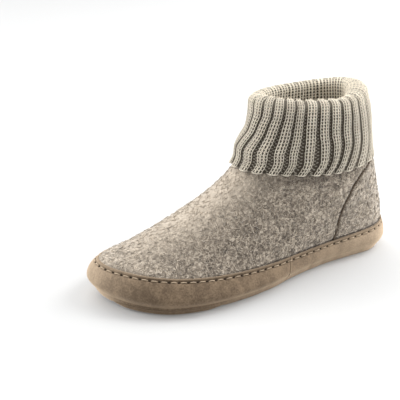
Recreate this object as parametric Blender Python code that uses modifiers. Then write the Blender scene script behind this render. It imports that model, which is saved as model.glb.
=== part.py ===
"""Hut slipper for the left foot: a felt upper with a turned-down knit cuff on a soft sole.

Metres, with +X to the toe, +Y to the outer side of the foot and +Z up. The origin is on
the floor, under the middle of the slipper. Every piece is worked out from one last: rings
that rise from the plan of the foot, over the vamp, to the oval of the collar.
"""

import math

import bpy
import numpy as np

# Driving dimensions
LENGTH = 0.265
BALL_WIDTH = 0.105
HEIGHT = 0.146
PERCENT = 0.01

# Gap between pieces that touch
GAP = 0.0003

# Plan of the last where it is widest. Station is percent of LENGTH from the heel, the sides
# are percent of BALL_WIDTH from the axis of the foot.
OUTLINE_COLUMNS = ("station", "outer", "inner")
OUTLINE = (
    (0.0, -2.0, 2.0),
    (3.0, 15.0, 15.5),
    (7.5, 21.7, 24.0),
    (15.0, 24.6, 29.2),
    (26.0, 28.0, 29.4),
    (38.0, 36.2, 28.4),
    (49.0, 45.9, 31.2),
    (60.0, 51.8, 37.2),
    (68.0, 53.6, 41.6),
    (75.5, 53.0, 42.7),
    (83.0, 48.8, 39.4),
    (90.5, 37.8, 30.6),
    (96.0, 23.6, 19.6),
    (100.0, -0.6, 0.6),
)

# Rings of the last from the sole's edge up to the fold of the cuff. Heel, waist, ball and
# front are heights in percent of HEIGHT, and drop is how much lower the inner side lies
# before the toe. Back and toe are the ring's ends in percent of LENGTH. Outer and inner are
# its half widths and inset its narrowing all round, in percent of BALL_WIDTH. Oval is 0 for
# the plan of the foot and 1 for an even oval.
RING_COLUMNS = (
    "heel", "waist", "ball", "front", "drop", "back", "toe", "outer", "inner", "inset", "oval"
)
RINGS = {
    "sole edge": (3.3, 3.3, 3.3, 3.3, 0.0, 0.3, 98.7, 53.4, 42.5, 3.4, 0.00),
    "bulge": (7.9, 7.6, 8.6, 11.5, 0.0, 0.6, 99.4, 53.6, 42.7, 0.0, 0.00),
    "band top": (16.7, 14.7, 16.3, 21.6, 3.2, 1.3, 96.4, 45.5, 36.8, 0.0, 0.20),
    "toe top": (25.0, 24.0, 24.8, 25.2, 1.6, 2.1, 89.4, 39.0, 30.0, 0.0, 0.55),
    "vamp": (34.9, 34.9, 34.9, 34.7, 0.0, 3.5, 75.0, 34.8, 29.5, 0.0, 0.85),
    "instep": (45.2, 45.2, 45.2, 45.2, 0.0, 4.8, 63.0, 32.9, 30.5, 0.0, 1.00),
    "cuff hem": (60.7, 58.2, 58.7, 60.4, 0.0, 7.8, 52.2, 31.9, 31.0, 0.0, 1.00),
    "felt top": (71.9, 71.9, 72.3, 72.9, 0.0, 9.5, 49.4, 29.5, 29.5, 0.0, 1.00),
    "shaft": (83.6, 83.4, 83.6, 83.6, 0.0, 10.9, 48.2, 26.7, 26.7, 0.0, 1.00),
    "fold": (95.7, 94.8, 94.2, 93.6, 0.0, 12.3, 46.5, 24.3, 24.3, 0.0, 1.00),
}
LEVEL_OF = {name: level for level, name in enumerate(RINGS)}
HEIGHT_STATIONS = (0.0, 0.34, 0.68, 1.0)
OVAL_POWER = 2.3
FINE_STEPS = 241

# Underside of the sole: flat at the heel and at the ball, raised at both ends and the arch.
# Starts and spans are shares of LENGTH.
SOLE_THICKNESS = 0.0045
HEEL_RISE = 0.0006
HEEL_RISE_END = 0.05
ARCH_RISE = 0.0006
ARCH_AT = 0.40
ARCH_SPAN = 0.11
TOE_SPRING = 0.0046
TOE_SPRING_START = 0.80
SPRING_FADES_BY = 2.0

# Pieces
FELT_THICKNESS = 0.0030
BAND_THICKNESS = 0.0018
BAND_LEVELS = (0.2, 0.5, 1.0, 1.5, 2.0)
BAND_JOINT_COLUMN = 13
BAND_JOINT_GAP = 0.05
INSOLE_THICKNESS = 0.0050
INSOLE_CLEARANCE = 0.0006
SOLE_LIP = 0.0005
SIDE_COLUMNS = 31
RINGS_TO_A_LEVEL = 2

# Rounded edge of the sole and of the insole: inset in metres, share of the thickness
EDGE_COLUMNS = ("inset", "share")
SOLE_EDGE = ((0.0026, 0.0), (0.0008, 0.18), (0.0, 0.5), (0.0003, 0.85), (0.0010, 1.0))
INSOLE_EDGE = ((0.0012, 0.0), (0.0, 0.3), (0.0004, 0.75), (0.0018, 1.0))

# Knit cuff: ribs round the collar, each a raised face and a valley at shares of its pitch,
# and the two layers on both sides of the fold. A row of a layer is a level of the last and
# how far the knit lies outside it in metres.
RIBS = 27
RIB_COLUMNS = ((0.00, 1), (0.54, 1), (0.70, -1), (0.84, -1))
RIB_RELIEF = 0.0007
RIB_PHASE = 0.70
KNIT_THICKNESS = 0.0026
FOLD_RADIUS = 0.0042
FOLD_TURNS = (0, 45, 90, 135, 180)
INNER_LAYER = ((7.05, -0.0019), (7.7, -0.0028), (8.4, -0.0037))
OUTER_LAYER = ((8.3, 0.0040), (7.5, 0.0033), (6.8, 0.0028), (6.05, 0.0026))

# Finishes: base colour and roughness
FINISHES = {
    "upper": ((0.30, 0.25, 0.20), 0.95),
    "cuff": ((0.45, 0.41, 0.34), 0.95),
    "sole_band": ((0.27, 0.19, 0.13), 0.90),
    "outsole": ((0.20, 0.14, 0.10), 0.85),
    "insole": ((0.36, 0.31, 0.25), 0.95),
}


def smooth(places, values, where):
    """Smooth curve through a table's column, read at the places asked for."""
    places = np.asarray(places, float)
    values = np.asarray(values, float)
    slopes = np.gradient(values, places)
    cell = np.clip(np.searchsorted(places, where, side="right") - 1, 0, len(places) - 2)
    span = places[cell + 1] - places[cell]
    share = (where - places[cell]) / span
    rise = values[cell + 1] - values[cell]
    start = slopes[cell] * span
    end = slopes[cell + 1] * span
    bend = 3 * rise - 2 * start - end
    twist = start + end - 2 * rise
    return values[cell] + share * (start + share * (bend + share * twist))


def column(rows, names, name):
    """One named column of a table."""
    return np.array([row[names.index(name)] for row in rows], float)


def ground(x):
    """Height of the underside of the sole at distances x from the heel."""
    station = x / LENGTH
    heel = np.clip(1 - station / HEEL_RISE_END, 0, 1)
    arch = np.clip(1 - np.abs(station - ARCH_AT) / ARCH_SPAN, 0, 1)
    toe = np.clip((station - TOE_SPRING_START) / (1 - TOE_SPRING_START), 0, 1)
    return HEEL_RISE * heel**2 + ARCH_RISE * arch**2 * (3 - 2 * arch) + TOE_SPRING * toe**2


def plan_side(side, turn):
    """Plan of one side of the foot as a share of its widest, heel at 0 and toe at pi."""
    stations = column(OUTLINE, OUTLINE_COLUMNS, "station") * PERCENT
    widths = column(OUTLINE, OUTLINE_COLUMNS, side)
    return smooth(np.arccos(1 - 2 * stations), widths / widths.max(), turn)


def ring(level, places):
    """Points of the last at a level. Places 0 to 1 run along the outer side from heel to
    toe, places 1 to 2 back along the inner side."""
    size = {
        name: smooth(np.arange(len(RINGS)), column(RINGS.values(), RING_COLUMNS, name), level)
        for name in RING_COLUMNS
    }
    turn = np.linspace(0, math.pi, FINE_STEPS)
    share = (1 - np.cos(turn)) / 2
    x = LENGTH * PERCENT * (size["back"] + (size["toe"] - size["back"]) * share)
    heights = [size[name] for name in ("heel", "waist", "ball", "front")]
    z = HEIGHT * PERCENT * smooth(HEIGHT_STATIONS, heights, share)
    z = z + ground(x) * max(0.0, 1 - level / SPRING_FADES_BY)
    oval = (1 - np.abs(np.cos(turn)) ** OVAL_POWER) ** (1 / OVAL_POWER)
    drop = HEIGHT * PERCENT * size["drop"] * share * np.sin(turn)
    points = np.empty((len(places), 3))
    for side, sign, first in (("outer", 1, 0), ("inner", -1, 1)):
        plan = plan_side(side, turn)
        width = BALL_WIDTH * PERCENT * size[side]
        y = sign * width * (plan + size["oval"] * (oval - plan))
        steps = np.hypot(np.diff(x), np.diff(y))
        along = np.concatenate(([0], np.cumsum(steps))) / steps.sum()
        here = (places >= first) & (places < first + 1)
        wanted = places[here] - first
        height = z
        if side == "inner":
            wanted = 1 - wanted
            height = z - drop
        for axis, values in enumerate((x, y, height)):
            points[here, axis] = np.interp(wanted, along, values)
    return spread(points, -BALL_WIDTH * PERCENT * size["inset"])


def even_places(count):
    """Places spread evenly round a ring, count to a side."""
    return np.arange(2 * count) / count


def outward(points):
    """Unit directions in plan that point out of a closed ring."""
    along = np.roll(points, -1, axis=0) - np.roll(points, 1, axis=0)
    across = np.column_stack((-along[:, 1], along[:, 0], np.zeros(len(points))))
    return across / np.linalg.norm(across, axis=1)[:, None]


def spread(points, distance):
    """A ring grown in plan by a distance."""
    return points + distance * outward(points)


def centred(points):
    """Points moved so that the origin is under the middle of the slipper."""
    outer = column(RINGS.values(), RING_COLUMNS, "outer").max()
    inner = column(RINGS.values(), RING_COLUMNS, "inner").max()
    middle = BALL_WIDTH * PERCENT * (outer - inner) / 2
    return points - np.array((LENGTH / 2, middle, 0.0))


def finish(name):
    """Plain material of a piece."""
    colour, roughness = FINISHES[name]
    material = bpy.data.materials.new(name)
    material.use_nodes = True
    shader = material.node_tree.nodes["Principled BSDF"]
    shader.inputs["Base Color"].default_value = (*colour, 1.0)
    shader.inputs["Roughness"].default_value = roughness
    shader.inputs["Metallic"].default_value = 0.0
    return material


def add_piece(collection, name, points, faces):
    """One named object of the slipper from its points and faces."""
    mesh = bpy.data.meshes.new(name)
    mesh.from_pydata(centred(points).tolist(), [], faces)
    mesh.materials.append(finish(name))
    mesh.shade_smooth()
    piece = bpy.data.objects.new(name, mesh)
    collection.objects.link(piece)
    return piece


def wall_faces(ring_count, points_each, closed=True):
    """Faces of a surface lofted through rings from the lowest to the highest."""
    faces = []
    last = points_each if closed else points_each - 1
    for low in range(ring_count - 1):
        for here in range(last):
            after = (here + 1) % points_each
            below = low * points_each
            above = below + points_each
            faces.append((below + here, above + here, above + after, below + after))
    return faces


def cap_faces(start, count, faces_up):
    """Faces across a ring of count points a side, from side to side along the foot."""
    faces = []
    for here in range(count):
        outer = [here, here + 1]
        inner = [(2 * count - here) % (2 * count), 2 * count - here - 1]
        corners = [outer[0], inner[0], inner[1], outer[1]]
        corners = list(dict.fromkeys(corners))
        if not faces_up:
            corners.reverse()
        faces.append(tuple(start + corner for corner in corners))
    return faces


def add_wall(collection, name, rings, thickness, side, closed=True):
    """Hollow wall through rings, with its thickness on one side: -1 in, 0 both, 1 out."""
    faces = wall_faces(len(rings), len(rings[0]), closed)
    piece = add_piece(collection, name, np.concatenate(rings), faces)
    solidify = piece.modifiers.new("thickness", "SOLIDIFY")
    solidify.thickness = thickness
    solidify.offset = side
    solidify.use_even_offset = True
    solidify.use_quality_normals = True
    return piece


def add_slab(collection, name, rings):
    """Flat solid through rings, closed across its lowest and highest ring."""
    points_each = len(rings[0])
    faces = wall_faces(len(rings), points_each)
    faces += cap_faces(0, points_each // 2, False)
    faces += cap_faces((len(rings) - 1) * points_each, points_each // 2, True)
    return add_piece(collection, name, np.concatenate(rings), faces)


def slab_rings(outline, edge, underside, thickness):
    """Rings of a slab on a given underside, with the rounded edge of a table."""
    rings = []
    insets = column(edge, EDGE_COLUMNS, "inset")
    shares = column(edge, EDGE_COLUMNS, "share")
    for inset, share in zip(insets, shares):
        points = spread(outline, -inset)
        points[:, 2] = underside(points[:, 0]) + thickness * share
        rings.append(points)
    return rings


def add_outsole(collection):
    """Sole sheet, a little wider than the band that stands on it."""
    foot = ring(LEVEL_OF["sole edge"], even_places(SIDE_COLUMNS))
    outline = spread(foot, GAP + BAND_THICKNESS + SOLE_LIP)
    return add_slab(collection, "outsole", slab_rings(outline, SOLE_EDGE, ground, SOLE_THICKNESS))


def add_insole(collection):
    """Felt footbed on the sole sheet, inside the upper."""
    foot = ring(LEVEL_OF["sole edge"], even_places(SIDE_COLUMNS))
    outline = spread(foot, -FELT_THICKNESS - INSOLE_CLEARANCE)

    def underside(x):
        return ground(x) + SOLE_THICKNESS + GAP

    return add_slab(collection, "insole", slab_rings(outline, INSOLE_EDGE, underside, INSOLE_THICKNESS))


def add_upper(collection):
    """Felt wall from the sole's edge up to its top under the cuff."""
    steps = np.arange(LEVEL_OF["felt top"] * RINGS_TO_A_LEVEL + 1)
    rings = [ring(step / RINGS_TO_A_LEVEL, even_places(SIDE_COLUMNS)) for step in steps]
    return add_wall(collection, "upper", rings, FELT_THICKNESS, -1)


def add_sole_band(collection):
    """Suede strip round the foot of the upper, its two ends butted on the outer side."""
    columns = np.arange(2 * SIDE_COLUMNS + 1) + float(BAND_JOINT_COLUMN)
    columns[0] += BAND_JOINT_GAP / 2
    columns[-1] -= BAND_JOINT_GAP / 2
    places = columns / SIDE_COLUMNS % 2
    rings = [spread(ring(level, places), GAP) for level in BAND_LEVELS]
    return add_wall(collection, "sole_band", rings, BAND_THICKNESS, 1, closed=False)


def cuff_rows():
    """Level, offset, lift and turn of each row of the knit, from its inner end over the fold."""
    rows = [(level, offset, 0.0, 0.0) for level, offset in INNER_LAYER]
    for degrees in FOLD_TURNS:
        turn = math.radians(degrees)
        offset = -FOLD_RADIUS * math.cos(turn)
        rows.append((LEVEL_OF["fold"], offset, FOLD_RADIUS * math.sin(turn), turn))
    rows += [(level, offset, 0.0, math.pi) for level, offset in OUTER_LAYER]
    return rows


def add_cuff(collection):
    """Ribbed knit tube, folded over at the top and turned down outside the felt."""
    places = []
    relief = []
    for rib in range(RIBS):
        for share, side in RIB_COLUMNS:
            places.append(2 * (rib + share + RIB_PHASE) / RIBS % 2)
            relief.append(side * RIB_RELIEF)
    places = np.array(places)
    relief = np.array(relief)[:, None]
    rings = []
    for level, offset, lift, turn in cuff_rows():
        base = ring(level, places)
        out = outward(base)
        up = np.array((0.0, 0.0, 1.0))
        face = -math.cos(turn) * out + math.sin(turn) * up
        rings.append(base + offset * out + lift * up + relief * face)
    rings.reverse()
    return add_wall(collection, "cuff", rings, KNIT_THICKNESS, 0)


def main():
    for left_over in list(bpy.data.objects):
        bpy.data.objects.remove(left_over, do_unlink=True)
    collection = bpy.data.collections.new("hut_slipper")
    bpy.context.scene.collection.children.link(collection)
    add_outsole(collection)
    add_insole(collection)
    add_upper(collection)
    add_sole_band(collection)
    add_cuff(collection)


main()
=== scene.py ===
# %% [markdown]
# # Dressing a hut slipper
# The solids of this slipper are right in size but plain. This lesson puts the real surfaces on
# them: boiled wool felt, a suede band with saddle stitches, a soft sole and a rib knit cuff that is
# turned down over the ankle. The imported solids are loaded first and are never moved. Each one gets
# a finer piece that takes its place.

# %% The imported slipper
import math

import bpy
import numpy as np
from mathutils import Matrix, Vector, noise


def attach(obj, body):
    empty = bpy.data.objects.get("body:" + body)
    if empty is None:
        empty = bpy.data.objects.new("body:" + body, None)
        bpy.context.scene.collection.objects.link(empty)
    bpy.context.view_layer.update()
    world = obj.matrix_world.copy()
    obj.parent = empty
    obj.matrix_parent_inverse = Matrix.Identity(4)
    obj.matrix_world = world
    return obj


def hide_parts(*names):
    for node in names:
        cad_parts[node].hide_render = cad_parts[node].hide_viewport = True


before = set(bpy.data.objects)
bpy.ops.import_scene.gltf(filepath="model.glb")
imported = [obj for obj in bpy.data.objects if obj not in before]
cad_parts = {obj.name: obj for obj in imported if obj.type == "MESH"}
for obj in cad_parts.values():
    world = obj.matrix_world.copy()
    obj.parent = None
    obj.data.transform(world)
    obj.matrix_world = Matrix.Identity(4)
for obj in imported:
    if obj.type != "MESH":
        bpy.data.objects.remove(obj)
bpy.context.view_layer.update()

scene = bpy.context.scene
print("solids to dress:", sorted(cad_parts))

# %% [markdown]
# ## The last
# A shoemaker pulls every piece over one last, so the same tables and functions that gave the solids
# are repeated here and read in finer steps. A ring of the last is a closed line round the foot at a
# level: level 0 is the edge of the sole, 2 the top of the band, 6 the hem of the cuff and 9 its
# fold. A place runs from 0 at the heel along the outer side to 1 at the toe, and back along the
# inner side to 2.

# %% Sizes of the last
LENGTH = 0.265
BALL_WIDTH = 0.105
HEIGHT = 0.146
PERCENT = 0.01
GAP = 0.0003

OUTLINE_COLUMNS = ("station", "outer", "inner")
OUTLINE = (
    (0.0, -2.0, 2.0),
    (3.0, 15.0, 15.5),
    (7.5, 21.7, 24.0),
    (15.0, 24.6, 29.2),
    (26.0, 28.0, 29.4),
    (38.0, 36.2, 28.4),
    (49.0, 45.9, 31.2),
    (60.0, 51.8, 37.2),
    (68.0, 53.6, 41.6),
    (75.5, 53.0, 42.7),
    (83.0, 48.8, 39.4),
    (90.5, 37.8, 30.6),
    (96.0, 23.6, 19.6),
    (100.0, -0.6, 0.6),
)

RING_COLUMNS = (
    "heel", "waist", "ball", "front", "drop", "back", "toe", "outer", "inner", "inset", "oval"
)
RINGS = {
    "sole edge": (3.3, 3.3, 3.3, 3.3, 0.0, 0.3, 98.7, 53.4, 42.5, 3.4, 0.00),
    "bulge": (7.9, 7.6, 8.6, 11.5, 0.0, 0.6, 99.4, 53.6, 42.7, 0.0, 0.00),
    "band top": (16.7, 14.7, 16.3, 21.6, 3.2, 1.3, 96.4, 45.5, 36.8, 0.0, 0.20),
    "toe top": (25.0, 24.0, 24.8, 25.2, 1.6, 2.1, 89.4, 39.0, 30.0, 0.0, 0.55),
    "vamp": (34.9, 34.9, 34.9, 34.7, 0.0, 3.5, 75.0, 34.8, 29.5, 0.0, 0.85),
    "instep": (45.2, 45.2, 45.2, 45.2, 0.0, 4.8, 63.0, 32.9, 30.5, 0.0, 1.00),
    "cuff hem": (60.7, 58.2, 58.7, 60.4, 0.0, 7.8, 52.2, 31.9, 31.0, 0.0, 1.00),
    "felt top": (71.9, 71.9, 72.3, 72.9, 0.0, 9.5, 49.4, 29.5, 29.5, 0.0, 1.00),
    "shaft": (83.6, 83.4, 83.6, 83.6, 0.0, 10.9, 48.2, 26.7, 26.7, 0.0, 1.00),
    "fold": (95.7, 94.8, 94.2, 93.6, 0.0, 12.3, 46.5, 24.3, 24.3, 0.0, 1.00),
}
LEVEL_OF = {name: level for level, name in enumerate(RINGS)}
HEIGHT_STATIONS = (0.0, 0.34, 0.68, 1.0)
OVAL_POWER = 2.3
FINE_STEPS = 721

# %% Smooth curves through the tables
def smooth(places, values, where):
    """Smooth curve through a table's column, or through whole rows, read at the places asked for."""
    places = np.asarray(places, float)
    values = np.asarray(values, float)
    slopes = np.gradient(values, places, axis=0)
    cell = np.clip(np.searchsorted(places, where, side="right") - 1, 0, len(places) - 2)
    span = places[cell + 1] - places[cell]
    share = (where - places[cell]) / span
    rise = values[cell + 1] - values[cell]
    start = slopes[cell] * span
    end = slopes[cell + 1] * span
    bend = 3 * rise - 2 * start - end
    twist = start + end - 2 * rise
    return values[cell] + share * (start + share * (bend + share * twist))


def column(rows, names, name):
    """One named column of a table."""
    return np.array([row[names.index(name)] for row in rows], float)


def soft_step(value, low, high):
    """0 below low, 1 above high, and a soft rise between them."""
    share = np.clip((value - low) / (high - low), 0, 1)
    return share * share * (3 - 2 * share)


# %% The underside of the sole
HEEL_RISE = 0.0006
HEEL_RISE_END = 0.05
ARCH_RISE = 0.0006
ARCH_AT = 0.40
ARCH_SPAN = 0.11
TOE_SPRING = 0.0046
TOE_SPRING_START = 0.80
SPRING_FADES_BY = 2.0


def ground(x):
    """Height of the underside of the sole at distances x from the heel."""
    station = x / LENGTH
    heel = np.clip(1 - station / HEEL_RISE_END, 0, 1)
    arch = np.clip(1 - np.abs(station - ARCH_AT) / ARCH_SPAN, 0, 1)
    toe = np.clip((station - TOE_SPRING_START) / (1 - TOE_SPRING_START), 0, 1)
    return HEEL_RISE * heel**2 + ARCH_RISE * arch**2 * (3 - 2 * arch) + TOE_SPRING * toe**2


# %% Rings of the last
def plan_side(side, turn):
    """Plan of one side of the foot as a share of its widest, heel at 0 and toe at pi."""
    stations = column(OUTLINE, OUTLINE_COLUMNS, "station") * PERCENT
    widths = column(OUTLINE, OUTLINE_COLUMNS, side)
    return smooth(np.arccos(1 - 2 * stations), widths / widths.max(), turn)


def outward(points):
    """Unit directions in plan that point out of a closed ring."""
    along = np.roll(points, -1, axis=0) - np.roll(points, 1, axis=0)
    across = np.column_stack((-along[:, 1], along[:, 0], np.zeros(len(points))))
    return across / np.linalg.norm(across, axis=1)[:, None]


def spread(points, distance):
    """A ring grown in plan by a distance."""
    return points + np.reshape(distance, (-1, 1)) * outward(points)


def ring(level, places):
    """Points of the last at a level, before it is centred."""
    size = {
        name: smooth(np.arange(len(RINGS)), column(RINGS.values(), RING_COLUMNS, name), level)
        for name in RING_COLUMNS
    }
    turn = np.linspace(0, math.pi, FINE_STEPS)
    share = (1 - np.cos(turn)) / 2
    x = LENGTH * PERCENT * (size["back"] + (size["toe"] - size["back"]) * share)
    heights = [size[name] for name in ("heel", "waist", "ball", "front")]
    z = HEIGHT * PERCENT * smooth(HEIGHT_STATIONS, heights, share)
    z = z + ground(x) * max(0.0, 1 - level / SPRING_FADES_BY)
    oval = (1 - np.abs(np.cos(turn)) ** OVAL_POWER) ** (1 / OVAL_POWER)
    drop = HEIGHT * PERCENT * size["drop"] * share * np.sin(turn)
    points = np.empty((len(places), 3))
    for side, sign, first in (("outer", 1, 0), ("inner", -1, 1)):
        plan = plan_side(side, turn)
        width = BALL_WIDTH * PERCENT * size[side]
        y = sign * width * (plan + size["oval"] * (oval - plan))
        steps = np.hypot(np.diff(x), np.diff(y))
        along = np.concatenate(([0], np.cumsum(steps))) / steps.sum()
        here = (places >= first) & (places < first + 1)
        wanted = places[here] - first
        height = z
        if side == "inner":
            wanted = 1 - wanted
            height = z - drop
        for axis, values in enumerate((x, y, height)):
            points[here, axis] = np.interp(wanted, along, values)
    return spread(points, -BALL_WIDTH * PERCENT * size["inset"])


def centred(points):
    """Points moved so that the origin is under the middle of the slipper."""
    outer = column(RINGS.values(), RING_COLUMNS, "outer").max()
    inner = column(RINGS.values(), RING_COLUMNS, "inner").max()
    middle = BALL_WIDTH * PERCENT * (outer - inner) / 2
    return points - np.array((LENGTH / 2, middle, 0.0))


girth = centred(ring(LEVEL_OF["bulge"], np.linspace(0, 2, FINE_STEPS, endpoint=False)))
print("widest ring of the last:", np.ptp(girth, axis=0).round(4), "m")

# %% [markdown]
# ## Meshes from grids
# Felt, suede and knit are all sheets of some thickness, so each is a grid of points: rows run round
# the section of the wall and columns run round the foot. Joining the last row to the first closes
# the wall without a modifier, and leaves the grid in our hands for creases, seams and stitch holes.

# %% Grids and their normals
UP = np.array((0.0, 0.0, 1.0))
DOWN = np.array((0.0, 0.0, -1.0))
TINY = 1e-12


def unit(vectors):
    """Vectors of length one."""
    return vectors / np.maximum(np.linalg.norm(vectors, axis=-1, keepdims=True), TINY)


def lengths_along(lines):
    """Length from the first row of points to each row, down every column."""
    steps = np.linalg.norm(np.diff(lines, axis=0), axis=-1)
    return np.concatenate((np.zeros_like(steps[:1]), np.cumsum(steps, axis=0)))


def grid_normals(grid):
    """Outward normals of rows that rise round the foot."""
    along = np.roll(grid, -1, axis=1) - np.roll(grid, 1, axis=1)
    rise = np.gradient(grid, axis=0)
    return unit(np.cross(rise, along))


def grid_faces(rows, columns, rows_closed=True, columns_closed=True):
    """Four-sided faces of a grid of points."""
    row, place = np.meshgrid(
        np.arange(rows if rows_closed else rows - 1),
        np.arange(columns if columns_closed else columns - 1),
        indexing="ij",
    )
    above = (row + 1) % rows
    after = (place + 1) % columns
    corners = ((row, place), (above, place), (above, after), (row, after))
    return np.stack([line * columns + spot for line, spot in corners], axis=-1).reshape(-1, 4).tolist()


# %% Pieces from grids
def rim(first, last, lift, steps):
    """Rows that round the edge of a wall from one face to the other."""
    middle = (first + last) / 2
    half = (first - last) / 2
    reach = np.linalg.norm(half, axis=-1, keepdims=True) * lift
    turns = np.linspace(0, math.pi, steps + 2)[1:-1]
    return np.array([middle + half * math.cos(turn) + reach * math.sin(turn) for turn in turns])


def add_piece(name, points, faces, finish):
    """A smooth object from points and faces, with its finish."""
    mesh = bpy.data.meshes.new(name)
    mesh.from_pydata(np.reshape(points, (-1, 3)).tolist(), [], faces)
    mesh.materials.append(finish)
    mesh.shade_smooth()
    piece = bpy.data.objects.new(name, mesh)
    scene.collection.objects.link(piece)
    return piece


def keep_attribute(mesh, name, values):
    """Numbers or vectors kept on the points of a mesh."""
    values = np.asarray(values, np.float32)
    vector = values.ndim > 1
    attribute = mesh.attributes.new(name, "FLOAT_VECTOR" if vector else "FLOAT", "POINT")
    attribute.data.foreach_set("vector" if vector else "value", values.ravel())


def dress(piece, node):
    """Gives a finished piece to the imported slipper."""
    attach(piece, "root")
    if node:
        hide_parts(node)
    piece.data.calc_loop_triangles()
    print(piece.name, "has", len(piece.data.loop_triangles), "triangles")


# %% [markdown]
# ## Node trees written as sums
# Shaders and Geometry Nodes are both trees of small nodes. Linked by hand they are hard to read, so
# one class adds nodes and another wraps a socket, so that `1 - mask * 0.5` in Python adds the Math
# nodes for it.

# %% Adding nodes
class Nodes:
    """Adds nodes to a tree: a kind, then its settings, then the values or links of its sockets."""

    def __init__(self, tree):
        self.tree = tree

    def add(self, kind, settings=None, sockets=None):
        """A new node with its settings and sockets filled in."""
        node = self.tree.nodes.new(kind)
        for name, value in (settings or {}).items():
            setattr(node, name, value)
        for name, value in (sockets or {}).items():
            self.plug(self.find(node.inputs, name), value)
        return node

    def find(self, sockets, name):
        """The socket in use that has a name."""
        return next(each for each in sockets if each.enabled and name in (each.name, each.identifier))

    def plug(self, socket, value):
        """Links a socket to another one, or gives it a plain value."""
        if isinstance(value, Value):
            value = value.socket
        if isinstance(value, bpy.types.NodeSocket):
            self.tree.links.new(value, socket)
        else:
            socket.default_value = value

    def read(self, node, name):
        """One output of a node, ready for sums."""
        return Value(self, self.find(node.outputs, name))


class Value:
    """A number socket that can stand in a Python expression."""

    def __init__(self, nodes, socket):
        self.nodes = nodes
        self.socket = socket

    def maths(self, operation, *others):
        """A Math node, as the next value."""
        node = self.nodes.add("ShaderNodeMath", {"operation": operation})
        for socket, value in zip(node.inputs, others):
            self.nodes.plug(socket, value)
        return Value(self.nodes, node.outputs[0])

    def __add__(self, other):
        return self.maths("ADD", self, other)

    def __radd__(self, other):
        return self.maths("ADD", other, self)

    def __sub__(self, other):
        return self.maths("SUBTRACT", self, other)

    def __rsub__(self, other):
        return self.maths("SUBTRACT", other, self)

    def __mul__(self, other):
        return self.maths("MULTIPLY", self, other)

    def __rmul__(self, other):
        return self.maths("MULTIPLY", other, self)

    def __abs__(self):
        return self.maths("ABSOLUTE", self)

    def __pow__(self, other):
        return self.maths("POWER", self, other)


# %% A finish
CLOTH_SHINE = 0.25
SHEEN_ROUGHNESS = 0.45


class Finish(Nodes):
    """A material whose colour and bump are worked out from the piece's own coordinates."""

    def __init__(self, name, roughness, sheen, sheen_tint=(1, 1, 1, 1)):
        self.material = bpy.data.materials.new(name)
        self.material.use_nodes = True
        super().__init__(self.material.node_tree)
        self.shader = self.tree.nodes["Principled BSDF"]
        constants = {
            "Roughness": roughness, "Specular IOR Level": CLOTH_SHINE, "Sheen Weight": sheen,
            "Sheen Roughness": SHEEN_ROUGHNESS, "Sheen Tint": sheen_tint,
        }
        for label, value in constants.items():
            self.shader.inputs[label].default_value = value
        self.place = self.read(self.add("ShaderNodeTexCoord"), "Object")

    def noise(self, scale, detail=2.0, distortion=0.0, stretch=(1, 1, 1)):
        """Noise from 0 to 1 with so many spots to a metre."""
        mapping = self.add("ShaderNodeMapping", None, {"Vector": self.place, "Scale": stretch})
        sockets = {
            "Vector": self.read(mapping, "Vector"), "Scale": scale,
            "Detail": detail, "Distortion": distortion,
        }
        return self.read(self.add("ShaderNodeTexNoise", None, sockets), "Fac")

    def steps(self, value, low, high):
        """0 below low, 1 above high, and a soft rise between them."""
        sockets = {"Value": value, "From Min": low, "From Max": high}
        rise = self.add("ShaderNodeMapRange", {"interpolation_type": "SMOOTHSTEP"}, sockets)
        return self.read(rise, "Result")

    def mix(self, factor, first, second):
        """A colour between two colours."""
        sockets = {"Factor": factor, "A": first, "B": second}
        return self.read(self.add("ShaderNodeMix", {"data_type": "RGBA"}, sockets), "Result")

    def attribute(self, name):
        """A number kept on the points of the piece."""
        return self.read(self.add("ShaderNodeAttribute", {"attribute_name": name}), "Fac")

    def finish(self, colour, height, distance, strength):
        """Links the colour and a bump of a height in metres, and gives the material."""
        self.plug(self.shader.inputs["Base Color"], colour)
        sockets = {"Height": height, "Distance": distance, "Strength": strength}
        bump = self.add("ShaderNodeBump", None, sockets)
        self.plug(self.shader.inputs["Normal"], self.read(bump, "Normal"))
        return self.material


# %% [markdown]
# ## Small things that repeat
# Knit loops, stitches and wool fibres are the same small shape set down hundreds or thousands of
# times. Geometry Nodes place such a shape on points and turn it to the surface. The shape is a
# short bent yarn: a curve through three points, swept with a circle and thinner at both ends. The
# tree's sizes are named inputs, and its result is turned into a plain mesh.

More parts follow.
